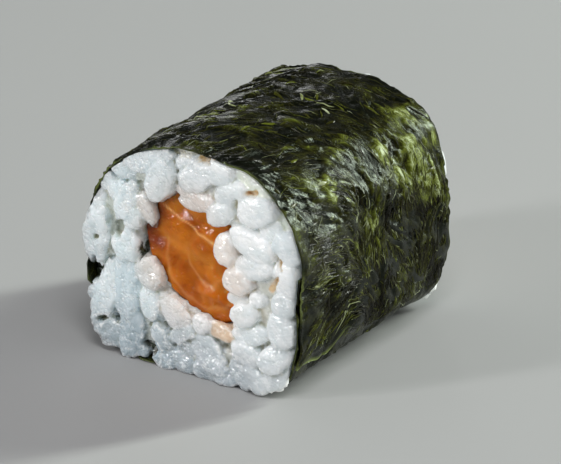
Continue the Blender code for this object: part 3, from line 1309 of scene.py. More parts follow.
@dataclass
class SalmonStrip:
    """The filling: a strip that runs through the roll, cut off a little behind the rice.

    Arcs are the faint lines of fat round a middle: how clear each is, its radius and its width.
    """

    finish: SalmonFinish = field(default_factory=SalmonFinish)
    depth: float = 1.0
    edge: float = 0.7
    columns: int = 180
    rings: int = 46
    middle: float = 0.02
    undulation: float = 0.35
    wave_spacing: float = 3.2
    wave_plane: float = 7.0
    fold_height: float = 0.45
    fold_line: Seam = Seam(2.0, 9.8, 0.2, 0.70)
    fold_span: Span = (-1.0, 2.0)
    fat_line: Seam = Seam(-0.5, 16.75, 0.48, 0.13)
    fat_widens: Span = (-1.0, 4.0)
    fat_from: Span = (-5.0, 1.5)
    fat_to: Span = (4.0, -1.2)
    fat_sway: float = 0.35
    arc_middle: Span = (1.3, 13.2)
    arc_sway: float = 0.5
    arcs: tuple[Triple, ...] = ((0.34, 2.4, 0.20), (0.28, 5.1, 0.24))
    gold_band: Seam = Seam(0.0, 13.6, 0.55, 1.3)
    gold_share: float = 0.8
    gold_above: Span = (17.0, 2.5)
    bend: float = 1.2
    dark_side: Span = (-4.0, -2.6)

    def build(self) -> Object:
        """Make the strip with both cut faces.

        Returns:
            The strip, with what its finish reads on its vertices.
        """
        angles = np.linspace(0, math.tau, self.columns, endpoint=False)
        shares = np.linspace(self.middle, 1.0, self.rings)
        front, back = [[self._ring(angles, share, side) for share in shares] for side in (-1, 1)]
        stations = front + back[::-1]
        points = np.concatenate(stations)
        faces = grid_faces(len(stations), self.columns, closed=True, flip=True).tolist()
        last = (len(stations) - 1) * self.columns
        faces += [list(range(self.columns)), list(range(last, last + self.columns))[::-1]]
        strip = mesh_piece("salmon_strip", points, faces, self.finish.build())
        x, z = points[:, 0], points[:, 2]
        bend = self.bend * lumps(points, 2.5, octaves=2, seed=23.0)
        band = bell(self.gold_band.off(x, z) + bend, 0.0, self.gold_band.width)
        above, rise = self.gold_above
        gold = smooth_step((z - above + bend) / rise)
        store(strip.data, "fat", self._fat(points))
        store(strip.data, "dark", fade(x - 0.35 * (z - 13.5) + bend, *self.dark_side))
        store(strip.data, "gold", np.maximum(gold, self.gold_share * band))
        return strip

    def _ring(self, angles: Array, share: float, side: int) -> Array:
        """One ring of a cut face.

        Args:
            angles: Directions of its points.
            share: How far out it lies, from the face's middle (0) to its edge (1).
            side: -1 for the face that shows and 1 for the hidden one.

        Returns:
            Rows of x, y and z.
        """
        edge = SALMON_OUTLINE.points(angles)
        centre = np.array((SALMON_OUTLINE.across, SALMON_OUTLINE.up))
        flat = centre + (edge - centre) * share
        rim = np.hypot(*(edge - centre).T) * (1 - share)
        back = self.edge * (1 - np.sqrt(np.clip(1 - (1 - np.clip(rim / self.edge, 0, 1)) ** 2, 0, 1)))
        places = lay(flat, side * self.wave_plane)
        wave = self.undulation * lumps(places, self.wave_spacing, octaves=3, seed=6.0)
        wave = wave + self._fold(flat[:, 0], flat[:, 1])
        return lay(flat, side * (FORM.length / 2 - self.depth - back + wave))

    def _fold(self, x: Array, z: Array) -> Array:
        """How far a low fold near the strip's lower end stands out at points."""
        fold = self.fold_height * bell(self.fold_line.off(x, z), 0.0, self.fold_line.width)
        return fold * fade(x, *self.fold_span)

    def _fat(self, points: Array) -> Array:
        """Find the fat: one clear line across the strip and fainter arcs on its lower left.

        Args:
            points: Rows of x, y and z.

        Returns:
            How much fat shows at each point, from 0 to 1.
        """
        x, z = points[:, 0], points[:, 2]
        sway = lumps(points, 2.2, octaves=2, seed=1.0)
        width = self.fat_line.width + self.fat_line.width * fade(x, *self.fat_widens)
        line = bell(self.fat_line.off(x, z) + self.fat_sway * sway, 0.0, width)
        line = line * fade(x, *self.fat_from) * fade(x, *self.fat_to)
        across, up = self.arc_middle
        around = np.hypot(x - across, z - up) + self.arc_sway * sway
        arcs = sum(clear * bell(around, radius, wide) for clear, radius, wide in self.arcs)
        left_low = smooth_step((13.6 - z + (across - x) * 0.5) / 2.5)
        return np.clip(line + arcs * left_low, 0, 1)


# ---- Rice ----


class Kind(Enum):
    """How a grain shows in a cut face."""

    WHOLE = "whole"
    CUT = "cut"
    SMEARED = "smeared"


class Tint(Enum):
    """The cast of a grain's white, as its red, green and blue. Some are painted light: the bluish one is
    painted cool shade, the pink one painted light from the salmon, and the two darkest painted shade in
    gaps.
    """

    WHITE = (0.88, 0.90, 0.905)
    # Painted cool shade, for grains low, on the left and pressed over the sheet's edge.
    COOL = (0.79, 0.83, 0.85)
    # Painted light: the salmon's warm glow in grains next to it.
    PINK = (0.88, 0.84, 0.82)
    BEIGE = (0.86, 0.83, 0.74)
    GREY = (0.60, 0.63, 0.66)
    GREEN = (0.80, 0.84, 0.72)
    ORANGE = (0.87, 0.64, 0.45)
    AMBER = (0.82, 0.60, 0.36)
    # Painted shade in gaps.
    SHADE = (0.40, 0.43, 0.37)
    # Painted shadow deep in the narrowest gaps.
    DARK = (0.02, 0.03, 0.01)


@dataclass(frozen=True)
class Grain:
    """A cooked grain on a cut face, where the eye sees it in the plane of the sheet's edge.

    Turn is in degrees from across, anticlockwise. Proud is how far its front stands out of that
    plane.
    """

    across: float
    up: float
    length: float
    width: float
    turn: float
    proud: float = 0.1
    kind: Kind = Kind.WHOLE
    tint: Tint = Tint.WHITE


WHOLE, CUT, SMEARED = Kind
WHITE, COOL, PINK, BEIGE, GREY, GREEN, ORANGE, AMBER, SHADE, DARK = Tint
FRONT_GRAINS = (
    # upper left
    Grain(-6.5, 23.8, 3.6, 2.5, 20, 0.2, CUT),
    Grain(-3.8, 24.7, 2.6, 1.9, 20, 0.1, CUT),
    Grain(-8.2, 22.2, 3.4, 2.2, 15, 0.0),
    Grain(-3.8, 21.7, 4.8, 3.2, 65, 0.5),
    Grain(-6.0, 21.2, 2.6, 1.9, 10, -0.8, WHOLE, BEIGE),
    Grain(-10.8, 20.3, 2.2, 1.8, 40, 0.0),
    Grain(-9.3, 19.3, 2.2, 2.1, 0, 0.1, CUT),
    Grain(-8.4, 18.3, 4.6, 2.4, 78, 0.3),
    Grain(-5.6, 18.1, 3.6, 1.9, -70, 0.0, WHOLE, PINK),
    Grain(-7.3, 16.6, 2.8, 2.2, 60, 0.2),
    Grain(-11.9, 18.0, 2.4, 1.6, 80, -0.1),
    Grain(-10.4, 17.8, 2.4, 2.0, 30, -0.8, WHOLE, COOL),
    # left
    Grain(-12.3, 13.5, 7.0, 3.0, 80, 0.1, SMEARED),
    Grain(-8.3, 13.6, 4.0, 3.0, 90, 0.2),
    Grain(-10.9, 7.3, 8.0, 2.7, 74, 0.2, SMEARED),
    Grain(-8.2, 8.5, 8.0, 3.4, 90, 0.1, SMEARED, COOL),
    Grain(-10.6, 2.4, 4.5, 3.2, 20, 0.1, SMEARED),
    Grain(-7.6, 3.4, 6.0, 3.0, 80, 0.1, SMEARED, COOL),
    Grain(-5.8, 2.3, 2.2, 1.8, 0, -0.6, WHOLE, COOL),
    # left of and below the salmon
    Grain(-5.3, 10.7, 3.6, 3.0, -55, 0.1, WHOLE, PINK),
    Grain(-5.2, 7.4, 4.2, 2.4, -70, 0.2),
    Grain(-1.9, 7.2, 3.6, 2.8, -35, 0.0, CUT, PINK),
    Grain(-4.0, 3.7, 3.1, 1.8, -52, 0.2, SMEARED),
    Grain(-2.9, 5.4, 2.6, 2.0, 0, -0.7, WHOLE, GREY),
    Grain(-2.9, 9.6, 2.4, 2.0, 60, -0.9, WHOLE, PINK),
    Grain(-3.0, 2.2, 2.8, 2.0, -20, -0.1, SMEARED, COOL),
    Grain(-0.9, 1.7, 3.2, 1.8, -30, -0.1, SMEARED, COOL),
    Grain(-1.2, 4.6, 3.6, 2.0, 35, 0.1, SMEARED),
    Grain(-0.5, 2.9, 3.0, 2.2, -60, -0.1, SMEARED),
    Grain(1.2, 1.5, 4.5, 1.5, -25, -0.2, SMEARED, GREY),
    Grain(-0.1, 7.5, 2.6, 1.9, 10, -0.5, WHOLE, PINK),
    Grain(0.2, 5.3, 3.0, 2.2, 20, -0.2, SMEARED),
    # bottom
    Grain(1.5, 6.4, 2.2, 2.1, 0, 0.1),
    Grain(4.1, 6.2, 4.2, 1.8, -8, -0.1, WHOLE, ORANGE),
    Grain(2.3, 3.4, 5.6, 3.2, -48, 0.15, SMEARED),
    Grain(3.5, 0.9, 3.2, 1.5, -8, 0.1),
    Grain(7.6, 2.0, 5.2, 3.0, -15, 0.2),
    Grain(11.1, 2.6, 3.8, 2.6, 35, 0.1),
    Grain(11.0, 4.9, 4.4, 2.9, 37, 0.3),
    Grain(7.2, 4.5, 3.6, 2.6, -20, 0.3),
    Grain(7.7, 6.8, 4.2, 2.2, 8, 0.1),
    Grain(6.8, 9.0, 3.1, 2.6, 20, 0.5),
    Grain(8.5, 11.1, 1.9, 1.6, 0, 0.0),
    Grain(6.0, 10.6, 2.4, 1.3, 0, -0.1),
    Grain(11.6, 8.3, 3.8, 3.2, -60, 0.5),
    Grain(12.0, 11.4, 3.0, 2.8, 80, 0.2),
    Grain(9.8, 11.2, 2.4, 2.0, 80, -0.9, WHOLE, BEIGE),
    # right
    Grain(6.2, 12.7, 3.6, 2.8, 10, 0.2, WHOLE, PINK),
    Grain(12.4, 14.2, 4.4, 2.8, 90, 0.2),
    Grain(12.5, 17.9, 3.6, 2.8, -50, 0.2, WHOLE, COOL),
    Grain(8.0, 17.4, 5.6, 3.2, -15, 0.3),
    Grain(8.3, 14.8, 4.6, 2.8, 10, 0.2),
    Grain(4.5, 15.8, 3.4, 2.4, 100, 0.1, WHOLE, PINK),
    Grain(9.8, 13.2, 2.4, 2.0, 0, -0.9, WHOLE, BEIGE),
    # upper right
    Grain(3.1, 24.8, 4.4, 3.0, -10, 0.5),
    Grain(0.9, 23.2, 4.8, 2.8, 25, 0.3),
    Grain(0.0, 24.7, 3.0, 2.0, 10, -0.3),
    Grain(-1.2, 25.0, 2.6, 1.7, 0, -0.8, WHOLE, BEIGE),
    Grain(1.0, 20.7, 4.2, 2.2, 7, 0.1, WHOLE, PINK),
    Grain(-1.0, 21.5, 1.9, 1.2, 0, 0.0, WHOLE, PINK),
    Grain(5.4, 22.5, 4.2, 2.6, 28, 0.3),
    Grain(3.8, 19.8, 3.6, 2.4, 37, 0.2),
    Grain(8.0, 24.4, 5.5, 2.4, -28, -0.1, WHOLE, GREEN),
    Grain(8.4, 21.1, 4.4, 3.2, 15, 0.5),
    Grain(10.4, 19.6, 2.6, 2.4, 60, 0.1),
    Grain(11.8, 21.0, 3.6, 2.0, -50, -0.4, WHOLE, GREEN),
    Grain(5.9, 20.2, 2.2, 1.7, 0, -0.8, WHOLE, BEIGE),
)


@dataclass(frozen=True)
class RiceFinish:
    """Cooked sushi rice: milky and translucent, with a starchy wet gloss."""

    # Hollow is painted shade in crevices; edge is the white of milky patches and the painted highlight on
    # rims.
    hollow: Colour = (0.86, 0.83, 0.70)
    clear: Colour = (0.87, 0.90, 0.905)
    edge: Colour = (0.96, 0.97, 0.97)
    bead_depth: float = -1.6
    fine_depth: float = 0.7
    least_beads: float = 0.4
    mashed_beads: float = 0.9
    relief: float = 0.12
    light_depth: float = 1.9
    light_spread: Colour = (1.0, 0.97, 0.93)

    def build(self) -> Material:
        """Make the material.

        Returns:
            The material.
        """
        s = Sketch("rice")
        place = s.place()
        tint, cavity = s.attribute("tint", "Color"), s.attribute("cavity")
        grown = s.noise(s.attribute("lie", "Vector"), 0.7, 2.0, 0.5, 0.3)
        cloud = s.noise(place, 1.3, 3.0, 0.5, 0.4)
        colour = s.mix(s.span(grown, 0.62, 0.40), tint, self.clear, "MULTIPLY")
        colour = s.mix(s.span(cloud, 0.50, 0.66, 0.0, 0.35), colour, self.edge)
        # Painted highlight: the grains' rims are painted whiter.
        colour = s.mix(s.span(cavity, 0.10, 0.55, 0.0, 0.7), colour, self.edge)
        # Painted shade: crevices are painted darker and warmer.
        colour = s.mix(s.span(cavity, -0.6, -0.05, 0.85, 0.0), colour, self.hollow, "MULTIPLY")
        fine = s.noise(place, 2.0, 1.0, 0.5, 0.4)
        cell = s.node("ShaderNodeTexVoronoi", {}, {"Vector": place, "Scale": 2.8}).outputs["Distance"]
        beads = s.math("MULTIPLY", cell, cell)
        patch = s.span(cloud, 0.44, 0.54, 0.1, 1.0)
        mashed = s.math("MULTIPLY_ADD", s.attribute("mashed"), self.mashed_beads, self.least_beads)
        beads = s.math("MULTIPLY", beads, s.math("MULTIPLY", patch, mashed))
        height = s.math("MULTIPLY_ADD", beads, self.bead_depth, s.math("MULTIPLY", fine, self.fine_depth))
        return s.finish(
            Base_Color=colour, Roughness=s.span(cloud, 0.35, 0.65, 0.05, 0.12),
            Normal=s.bump(height, self.relief), Subsurface_Weight=1.0,
            Subsurface_Radius=self.light_spread, Subsurface_Scale=self.light_depth * MM,
            Specular_IOR_Level=1.0, IOR=1.42,
        )


@dataclass(frozen=True)
class Hollow:
    """A gap between grains: its middle, half sizes and turn, how deep it goes, and its colour, which in
    the grey and near-black gaps is painted shade.
    """

    across: float
    up: float
    long: float
    wide: float
    turn: float
    depth: float
    tint: Tint
    reach: float = 1.25
    wall: float = 0.4

    def share(self, x: Array, z: Array, sway: Array) -> Array:
        """Find what lies in the gap.

        Args:
            x: How far across the points lie.
            z: How far up they lie.
            sway: How much further the gap reaches at each of them, as a share of its size.

        Returns:
            1 in the gap and 0 round it, for each point.
        """
        c, s = math.cos(math.radians(self.turn)), math.sin(math.radians(self.turn))
        dx, dz = x - self.across, z - self.up
        away = np.hypot((dx * c + dz * s) / self.long, (dz * c - dx * s) / self.wide)
        return smooth_step((self.reach - away + sway) / self.wall)


# The grey and near-black gaps are painted shade.
FRONT_HOLLOWS = (
    Hollow(-9.7, 15.1, 1.1, 0.65, 62, 1.0, SHADE),
    Hollow(-12.4, 13.4, 0.40, 0.26, 40, 0.3, SHADE),
    Hollow(-10.9, 12.0, 0.6, 0.28, 100, 0.6, SHADE),
    Hollow(-6.9, 13.1, 1.6, 0.18, 86, 0.8, DARK),
    Hollow(-13.2, 8.9, 1.3, 0.8, 75, 1.4, DARK),
    Hollow(7.8, 23.1, 0.8, 0.35, 10, 0.4, AMBER),
    Hollow(11.2, 16.2, 0.9, 0.3, 115, 0.5, AMBER),
    Hollow(10.1, 12.9, 1.4, 0.35, 60, 0.6, AMBER),
    Hollow(5.6, 20.9, 0.9, 0.35, 80, 0.5, BEIGE),
    Hollow(0.9, 25.7, 1.6, 0.35, -8, 0.6, AMBER),
    Hollow(-1.3, 25.3, 0.9, 0.4, -5, 0.5, BEIGE),
    Hollow(-5.9, 4.4, 0.8, 0.22, 60, 0.8, SHADE),
    Hollow(-11.8, 3.9, 0.7, 0.3, 20, 0.8, SHADE),
    Hollow(-5.6, 1.6, 1.1, 0.55, 165, 1.0, DARK),
)
BACK_HOLLOWS = FRONT_HOLLOWS[5:-2]


@dataclass(frozen=True)
class PlacedGrain:
    """A grain in the roll: its centre, axes (length, depth, width), half sizes and front plane."""

    centre: Array
    axes: Array
    half: Array
    plane: float
    grain: Grain

    def local(self, points: Array) -> Array:
        """Points as the grain sees them, along its axes from its centre."""
        return (points - self.centre) @ self.axes.T


@dataclass(frozen=True)
class GrainForm:
    """How a pressed grain departs from an ellipsoid: squarer, torn and beaded at its rim, and dented.

    What is mashed has a more torn rim. A cut or smeared grain keeps a share of what stands past its
    plane.
    """

    square: float = 4.8
    bend: float = 0.12
    taper: float = 0.16
    mashed: Span = (2.0, -9.0)
    torn: float = 0.12
    torn_cut: float = 0.30
    torn_mashed: float = 0.16
    torn_spacing: float = 0.8
    bead: float = 0.16
    bead_spacing: float = 0.40
    bead_patch: float = 1.8
    bead_cover: float = 0.3
    rim: Span = (0.6, 0.3)
    dent: float = 0.12
    dent_spacing: float = 1.5
    facet: float = 0.07
    facet_spacing: float = 1.6
    plane_depth: float = 0.12
    kept_cut: float = 0.25
    kept_smeared: float = 0.5
    streak: float = 0.35
    streak_spacing: float = 1.2
    streak_stretch: Triple = (0.3, 1.0, 1.0)

    def points(
        self, unit: Array, placed: PlacedGrain, number: int, side: int, draw: Generator
    ) -> Array:
        """Shape one grain.

        Args:
            unit: Points of a ball of radius 1.
            placed: The grain.
            number: Its number, which gives it a pattern of its own.
            side: -1 on the face that shows and 1 on the hidden one.
            draw: Where random numbers come from.

        Returns:
            Rows of x, y and z.
        """
        kind = placed.grain.kind
        mashed = float(fade(placed.centre[0], *self.mashed))
        across, power = np.hypot(unit[:, 0], unit[:, 2]), self.square
        local = unit * ((across**power + np.abs(unit[:, 1]) ** power) ** (-1 / power))[:, None]
        bend, taper = draw.uniform(-self.bend, self.bend), draw.uniform(-self.taper, self.taper)
        places = unit * placed.half
        torn_edge = (self.torn if kind is WHOLE else self.torn_cut) + self.torn_mashed * mashed
        torn = lumps(places, self.torn_spacing, octaves=2, seed=number * 5.77) * torn_edge
        patch = lumps(places, self.bead_patch, seed=number * 1.9) * 2 + self.bead_cover
        beaded = smooth_step(patch + self.bead_cover * mashed)
        torn += cobbles(places, self.bead_spacing, seed=number * 2.31) * self.bead * beaded
        swell = 1 + fade(np.hypot(local[:, 0], local[:, 2]), *self.rim) * torn / placed.half[2]
        local[:, 0] *= swell
        local[:, 2] *= swell
        local[:, 1:] *= 1 + taper * local[:, :1]
        local[:, 2] += bend * local[:, 0] ** 2
        dents = lumps(places, self.dent_spacing, seed=number * 7.31) * self.dent
        facets = cobbles(places, self.facet_spacing, seed=number * 3.17) * self.facet
        world = placed.centre + (local * placed.half) @ placed.axes
        world += (unit @ placed.axes) * (dents + facets)[:, None]
        if kind is not WHOLE:
            plane = placed.plane - side * self.plane_depth
            over = (world[:, 1] - plane) * side
            kept = self.kept_cut if kind is CUT else self.kept_smeared
            world[:, 1] = np.where(over > 0, plane + side * over * kept, world[:, 1])
        if kind is SMEARED:
            streaks = lumps(places * self.streak_stretch, self.streak_spacing, seed=number * 1.13)
            world[:, 1] += side * streaks * self.streak
        return world


@dataclass(frozen=True)
class RiceSkin:
    """The fine relief of the fused grains, and what their finish reads.

    The rice is mashed towards the left of the cut face. Shade is painted on it: darker below, on the
    right halfway up and at the top away from the right, and cooler towards the left.
    """

    dent: float = 0.04
    dent_spacing: float = 0.8
    sugar: Span = (0.008, 0.05)
    sugar_spacing: float = 0.36
    sugar_patch: float = 2.2
    sugar_mashed: float = 0.2
    mashed_relief: Span = (4.0, -9.0)
    mashed_gloss: Span = (5.0, -9.0)
    # Painted cool shade towards the left.
    cold_shade_side: Span = (1.0, -9.0)
    cold_shade: Triple = (0.075, 0.02, 0.0)
    # How much shade is painted low down, on the right and at the top.
    low: float = 0.38
    right: float = 0.14
    top: float = 0.08
    painted_shade_cast: Triple = (1.07, 1.0, 0.93)
    # Painted light: the salmon's warm glow in the rice near it, strongest in the pink grains.
    salmon_light: Colour = (0.86, 0.70, 0.60)
    salmon_light_reach: Span = (1.9, -2.2)
    salmon_light_pink: float = 0.45
    salmon_light_other: float = 0.2
    unlike: Span = (0.94, 1.04)
    lie_stretch: Triple = (0.35, 1.0, 1.0)
    lie_apart: float = 7.3
    wide_rounds: int = 16
    wide_share: float = 2.5
    near_rounds: int = 3
    near_share: float = 6.0
    # Stronger painted rim highlights and crevice shade low down.
    low_cavity: float = 0.5
    low_cavity_span: Span = (11.0, -8.0)

    def relief(self, points: Array) -> Array:
        """Small dents in the skin, and sugary lumps in places.

        Args:
            points: Rows of x, y and z.

        Returns:
            How far out the skin lies at each point.
        """
        dents = lumps(points, self.dent_spacing, octaves=3, seed=4.4) * self.dent
        mashed = fade(points[:, 0], *self.mashed_relief)
        patch = lumps(points, self.sugar_patch, seed=12.0) - 0.05 + self.sugar_mashed * mashed
        patch = smooth_step(patch / 0.25)
        least, more = self.sugar
        return dents + cobbles(points, self.sugar_spacing, seed=2.2) * (least + more * patch)

    def _painted_shade(self, points: Array) -> Array:
        """Find where shade is painted on the rice.

        Args:
            points: Rows of x, y and z.

        Returns:
            The share of its colour that the painted shade takes away at each point.
        """
        x, z = points[:, 0], points[:, 2]
        low = self.low * fade(z, 8.5, -6.5) * (1 - 0.5 * fade(x, 6.0, 4.0))
        right = self.right * fade(x, 7.0, 3.0) * fade(z, 16.0, -4.0) * fade(z, 5.0, 3.0)
        top = self.top * fade(z, 18.0, 3.0) * fade(x, 6.0, -4.0)
        return low + right + top

    def tint(
        self, points: Array, placed: Sequence[PlacedGrain], owner: Array, draw: Generator
    ) -> Array:
        """Colour the skin: each grain's cast, with painted light from the salmon near it and painted
        shade.

        Args:
            points: Rows of x, y and z.
            placed: All grains.
            owner: The number of the grain that each point belongs to.
            draw: Where random numbers come from.

        Returns:
            A row of red, green and blue for each point.
        """
        tints = np.array([one.grain.tint.value for one in placed])
        tint = (tints * draw.uniform(*self.unlike, len(placed))[:, None])[owner]
        # Painted light: rice near the salmon takes on its warm glow.
        away, edge = SALMON_OUTLINE.reach(points[:, 0], points[:, 2])
        pink = np.array([one.grain.tint is PINK for one in placed])[owner]
        salmon_light = fade(away - edge, *self.salmon_light_reach) * np.where(pink, self.salmon_light_pink, self.salmon_light_other)
        tint = tint + salmon_light[:, None] * (np.array(self.salmon_light) - tint)
        # Painted shade: darker below, on the right and at the top, and cooler towards the left.
        tint *= 1 - self._painted_shade(points)[:, None] * np.array(self.painted_shade_cast)
        tint *= 1 - fade(points[:, 0], *self.cold_shade_side)[:, None] * np.array(self.cold_shade)
        return tint

    def lie(self, points: Array, placed: Sequence[PlacedGrain], owner: Array) -> Array:
        """Find where points lie in their own grain, so that its pattern follows it.

        Args:
            points: Rows of x, y and z.
            placed: All grains.
            owner: The number of the grain that each point belongs to.

        Returns:
            A row of three for each point.
        """
        lie = np.zeros_like(points)
        for number, one in enumerate(placed):
            mine = owner == number
            lie[mine] = one.local(points[mine]) * self.lie_stretch + number * self.lie_apart
        return lie

    def cavity(self, mesh: Mesh, points: Array, gaps: Iterable[Array]) -> Array:
        """Find edges and crevices, where the finish paints rim highlights and crevice shade.

        Args:
            mesh: The skin.
            points: Its points in millimetres.
            gaps: How far in each gap the points lie.

        Returns:
            Up to 1 on an edge and down to -1 in a crevice, for each point.
        """
        normals = read_normals(mesh)
        cavity = 0.0
        for rounds, share in ((self.wide_rounds, self.wide_share), (self.near_rounds, self.near_share)):
            cavity = cavity + ((points - relax(mesh, points, rounds)) * normals).sum(axis=1) * share
        # Stronger painted highlights and shade low down.
        cavity *= 1 + self.low_cavity * fade(points[:, 2], *self.low_cavity_span)
        # The gaps get the painted crevice shade too.
        for share in gaps:
            cavity = np.minimum(cavity, 1.0 - share)
        return np.clip(relax(mesh, cavity[:, None].repeat(3, axis=1), 1)[:, 0], -1, 1)


@dataclass
class RiceFace:
    """One cut face of the rice: its grains, fused into one sticky mass on a ring of core.

    The grains seen in the photo are listed first. Behind them lies a filling, and round them those
    that were pressed over the sheet's edge. Slide is how far a grain that lies back is moved against
    the line of sight, across and up, for each millimetre of its depth.
    """

    name: str
    side: int
    grains: Sequence[Grain]
    hollows: Sequence[Hollow]
    sleeve: Sleeve
    seed: int
    form: GrainForm = GrainForm()
    skin: RiceSkin = RiceSkin()
    voxel: float = 0.128
    ball_cuts: int = 4
    ring_count: int = 120
    core_depths: Span = (1.6, 3.3)
    cap_depth: float = 2.3
    core_gap: float = 0.05
    salmon_gap: float = 0.15
    fill_pitch: float = 2.7
    fill_row: float = 0.9
    fill_columns: int = 6
    fill_depth: float = 0.6
    fill_sink: float = 0.25
    fill_length: Span = (3.6, 5.0)
    fill_width: Span = (2.3, 2.9)
    clear_sheet: float = 0.8
    clear_salmon: float = 1.2
    lip_margin: float = 0.1
    lip_length: Span = (2.2, 3.8)
    lip_width: Span = (1.6, 2.3)
    lip_inset: float = 0.30
    lip_jitter: float = 0.2
    lip_turn: float = 35.0
    lip_proud: Span = (-0.15, 0.1)
    lip_step: Span = (0.10, 0.16)
    rise: float = 1.4
    furthest: float = 0.6
    swell: float = 1.14
    sway: float = 9.0
    depth_share: float = 0.92
    deepest: float = 2.7
    cut_depth: float = 0.45
    seen_depth: float = 0.25
    slide: Span = (0.674, 0.529)
    measured_from: float = 0.22
    touch_gap: float = 0.06
    front_gap: float = 0.12
    gap_sway: float = 0.7
    gap_spacing: float = 0.9
    gap_front: float = 0.2
    # How much further the gaps reach for the painted crevice shade.
    gap_shade: float = 0.8
    smoothing: int = 4

    def __post_init__(self) -> None:
        """Place every grain."""
        self.draw = np.random.default_rng(self.seed)
        listed = [self._place(grain, self.side < 0) for grain in self.grains]
        behind = self._filling() + self._lip()
        self.placed = listed + [self._place(grain, False) for grain in behind]

    def _place(self, grain: Grain, seen: bool) -> PlacedGrain:
        """Work out where a grain lies.

        Args:
            grain: The grain.
            seen: Whether its place is as the eye sees it, so that it slides along the line of sight.

        Returns:
            Its centre, axes, half sizes and front plane.
        """
        deep = min(grain.width * self.depth_share, self.deepest)
        front = FORM.length / 2 + grain.proud * self.rise
        middle = front - deep / 2 * (self.cut_depth if grain.kind is CUT else 1.0)
        behind = (FORM.length / 2 - front + self.seen_depth * deep) if seen else 0.0
        x = grain.across - self.slide[0] * behind - (self.measured_from if seen else 0.0)
        z = grain.up - self.slide[1] * behind
        turn = math.radians(grain.turn)
        lean = math.radians(self.draw.uniform(-self.sway, self.sway))
        roll = math.radians(self.draw.uniform(-self.sway, self.sway))
        flat = math.cos(lean)
        long = np.array((math.cos(turn) * flat, self.side * math.sin(lean), math.sin(turn) * flat))
        flat = math.cos(roll)
        wide = np.array((-math.sin(turn) * flat, self.side * math.sin(roll), math.cos(turn) * flat))
        wide -= long * float(wide @ long)
        wide /= np.linalg.norm(wide)
        axes = np.stack((long, np.cross(wide, long), wide))
        half = np.array((grain.length, deep, grain.width)) / 2 * self.swell
        return PlacedGrain(np.array((x, self.side * middle, z)), axes, half, self.side * front, grain)

    def _filling(self) -> list[Grain]:
        """Grains of the layer behind, on a jittered grid between the salmon and the sheet.

        Returns:
            The grains.
        """
        made = []
        for row in range(int(FORM.height / self.fill_pitch) + 2):
            for column in range(-self.fill_columns, self.fill_columns + 1):
                jitter = self.draw.uniform(-0.5, 0.5, 2)
                x = (column + 0.5 * (row % 2)) * self.fill_pitch + jitter[0]
                z = row * self.fill_pitch * self.fill_row + jitter[1]
                length, width = self.draw.uniform(*self.fill_length), self.draw.uniform(*self.fill_width)
                turn, sink = self.draw.uniform(0, 180), self.draw.uniform(-self.fill_sink, self.fill_sink)
                if self._free(x, z):
                    made.append(Grain(x, z, length, width, turn, -self.fill_depth + sink, tint=BEIGE))
        return made

    def _lip(self) -> list[Grain]:
        """Grains that were pressed over the sheet's cut edge, apart from its notches.

        Returns:
            The grains.
        """
        made = []
        angle = LIP.start + self.lip_margin
        while angle < LIP.end - self.lip_margin:
            limit = self._limit(angle - math.tau if angle > math.pi else angle, 0.0)
            length, width = self.draw.uniform(*self.lip_length), self.draw.uniform(*self.lip_width)
            angle += LIP.notch_width * any(abs(angle - notch) < LIP.notch_width for notch in LIP.notches)
            away = limit - width * self.lip_inset + self.draw.uniform(-self.lip_jitter, self.lip_jitter)
            x = FORM.outline.across + away * math.cos(angle)
            z = FORM.outline.up + away * math.sin(angle)
            turn = math.degrees(angle) + 90 + self.draw.uniform(-self.lip_turn, self.lip_turn)
            # The grains over the sheet's edge, low and on the far side, get painted cool shade.
            made.append(Grain(x, z, length, width, turn, self.draw.uniform(*self.lip_proud), tint=COOL))
            angle += self.draw.uniform(*self.lip_step)
        return made

    def _limit(self, angle: float, y: float) -> float:
        """How far the inside of the sheet lies from the middle at one angle and place."""
        return self.sleeve.limit(np.array([angle]), np.array([y]))[0]

    def _free(self, x: float, z: float) -> bool:
        """Find whether a place lies in the rice, clear of the salmon and inside the sheet.

        Args:
            x: How far across it lies.
            z: How far up it lies.

        Returns:
            Whether it does.
        """
        away, edge = SALMON_OUTLINE.reach(np.array([x]), np.array([z]))
        dx, dz = x - FORM.outline.across, z - FORM.outline.up
        limit = self._limit(math.atan2(dz, dx), self.side * FORM.length / 2)
        inside = math.hypot(dx, dz) < limit - self.clear_sheet
        return bool(inside and away[0] > edge[0] + self.clear_salmon)

    def build(self, material: Material) -> Object:
        """Make the face: the grains and the core ring, fused, relaxed and held in place.

        Args:
            material: Its finish.

        Returns:
            The face, with what its finish reads on its vertices.
        """
        mesh = self._fused(self._loose())
        points = relax(mesh, read_points(mesh), 1, 0.25)
        points = self._clear_salmon(self._hollowed(mesh, self.sleeve.hold(points)))
        write_points(mesh, points)
        write_points(mesh, points + read_normals(mesh) * self.skin.relief(points)[:, None])
        self._cap(mesh)
        self._dress(mesh)
        mesh.shade_smooth()
        mesh.materials.clear()
        mesh.materials.append(material)
        return link(bpy.data.objects.new(self.name, mesh))

    def _loose(self) -> Object:
        """Make the separate grains and the core ring in one helper object.

        Returns:
            The helper object.
        """
        ball = bmesh.new()
        bmesh.ops.create_icosphere(ball, subdivisions=self.ball_cuts, radius=1.0)
        unit = np.array([tuple(vertex.co) for vertex in ball.verts])
        triangles = np.array([[vertex.index for vertex in face.verts] for face in ball.faces])
        ball.free()
        points, faces = [], []
        for number, placed in enumerate(self.placed):
            points.append(self.form.points(unit, placed, number, self.side, self.draw))
            faces.extend((triangles + number * len(unit)).tolist())
        near, far = (self.side * (FORM.length / 2 - depth) for depth in self.core_depths)
        ring_points, ring_faces = self.sleeve.tube(
            (near, far), self.ring_count, self.core_gap, self.salmon_gap, flip=self.side < 0
        )
        points.append(ring_points)
        faces.extend((ring_faces + len(self.placed) * len(unit)).tolist())
        return mesh_piece("loose", np.concatenate(points), faces)

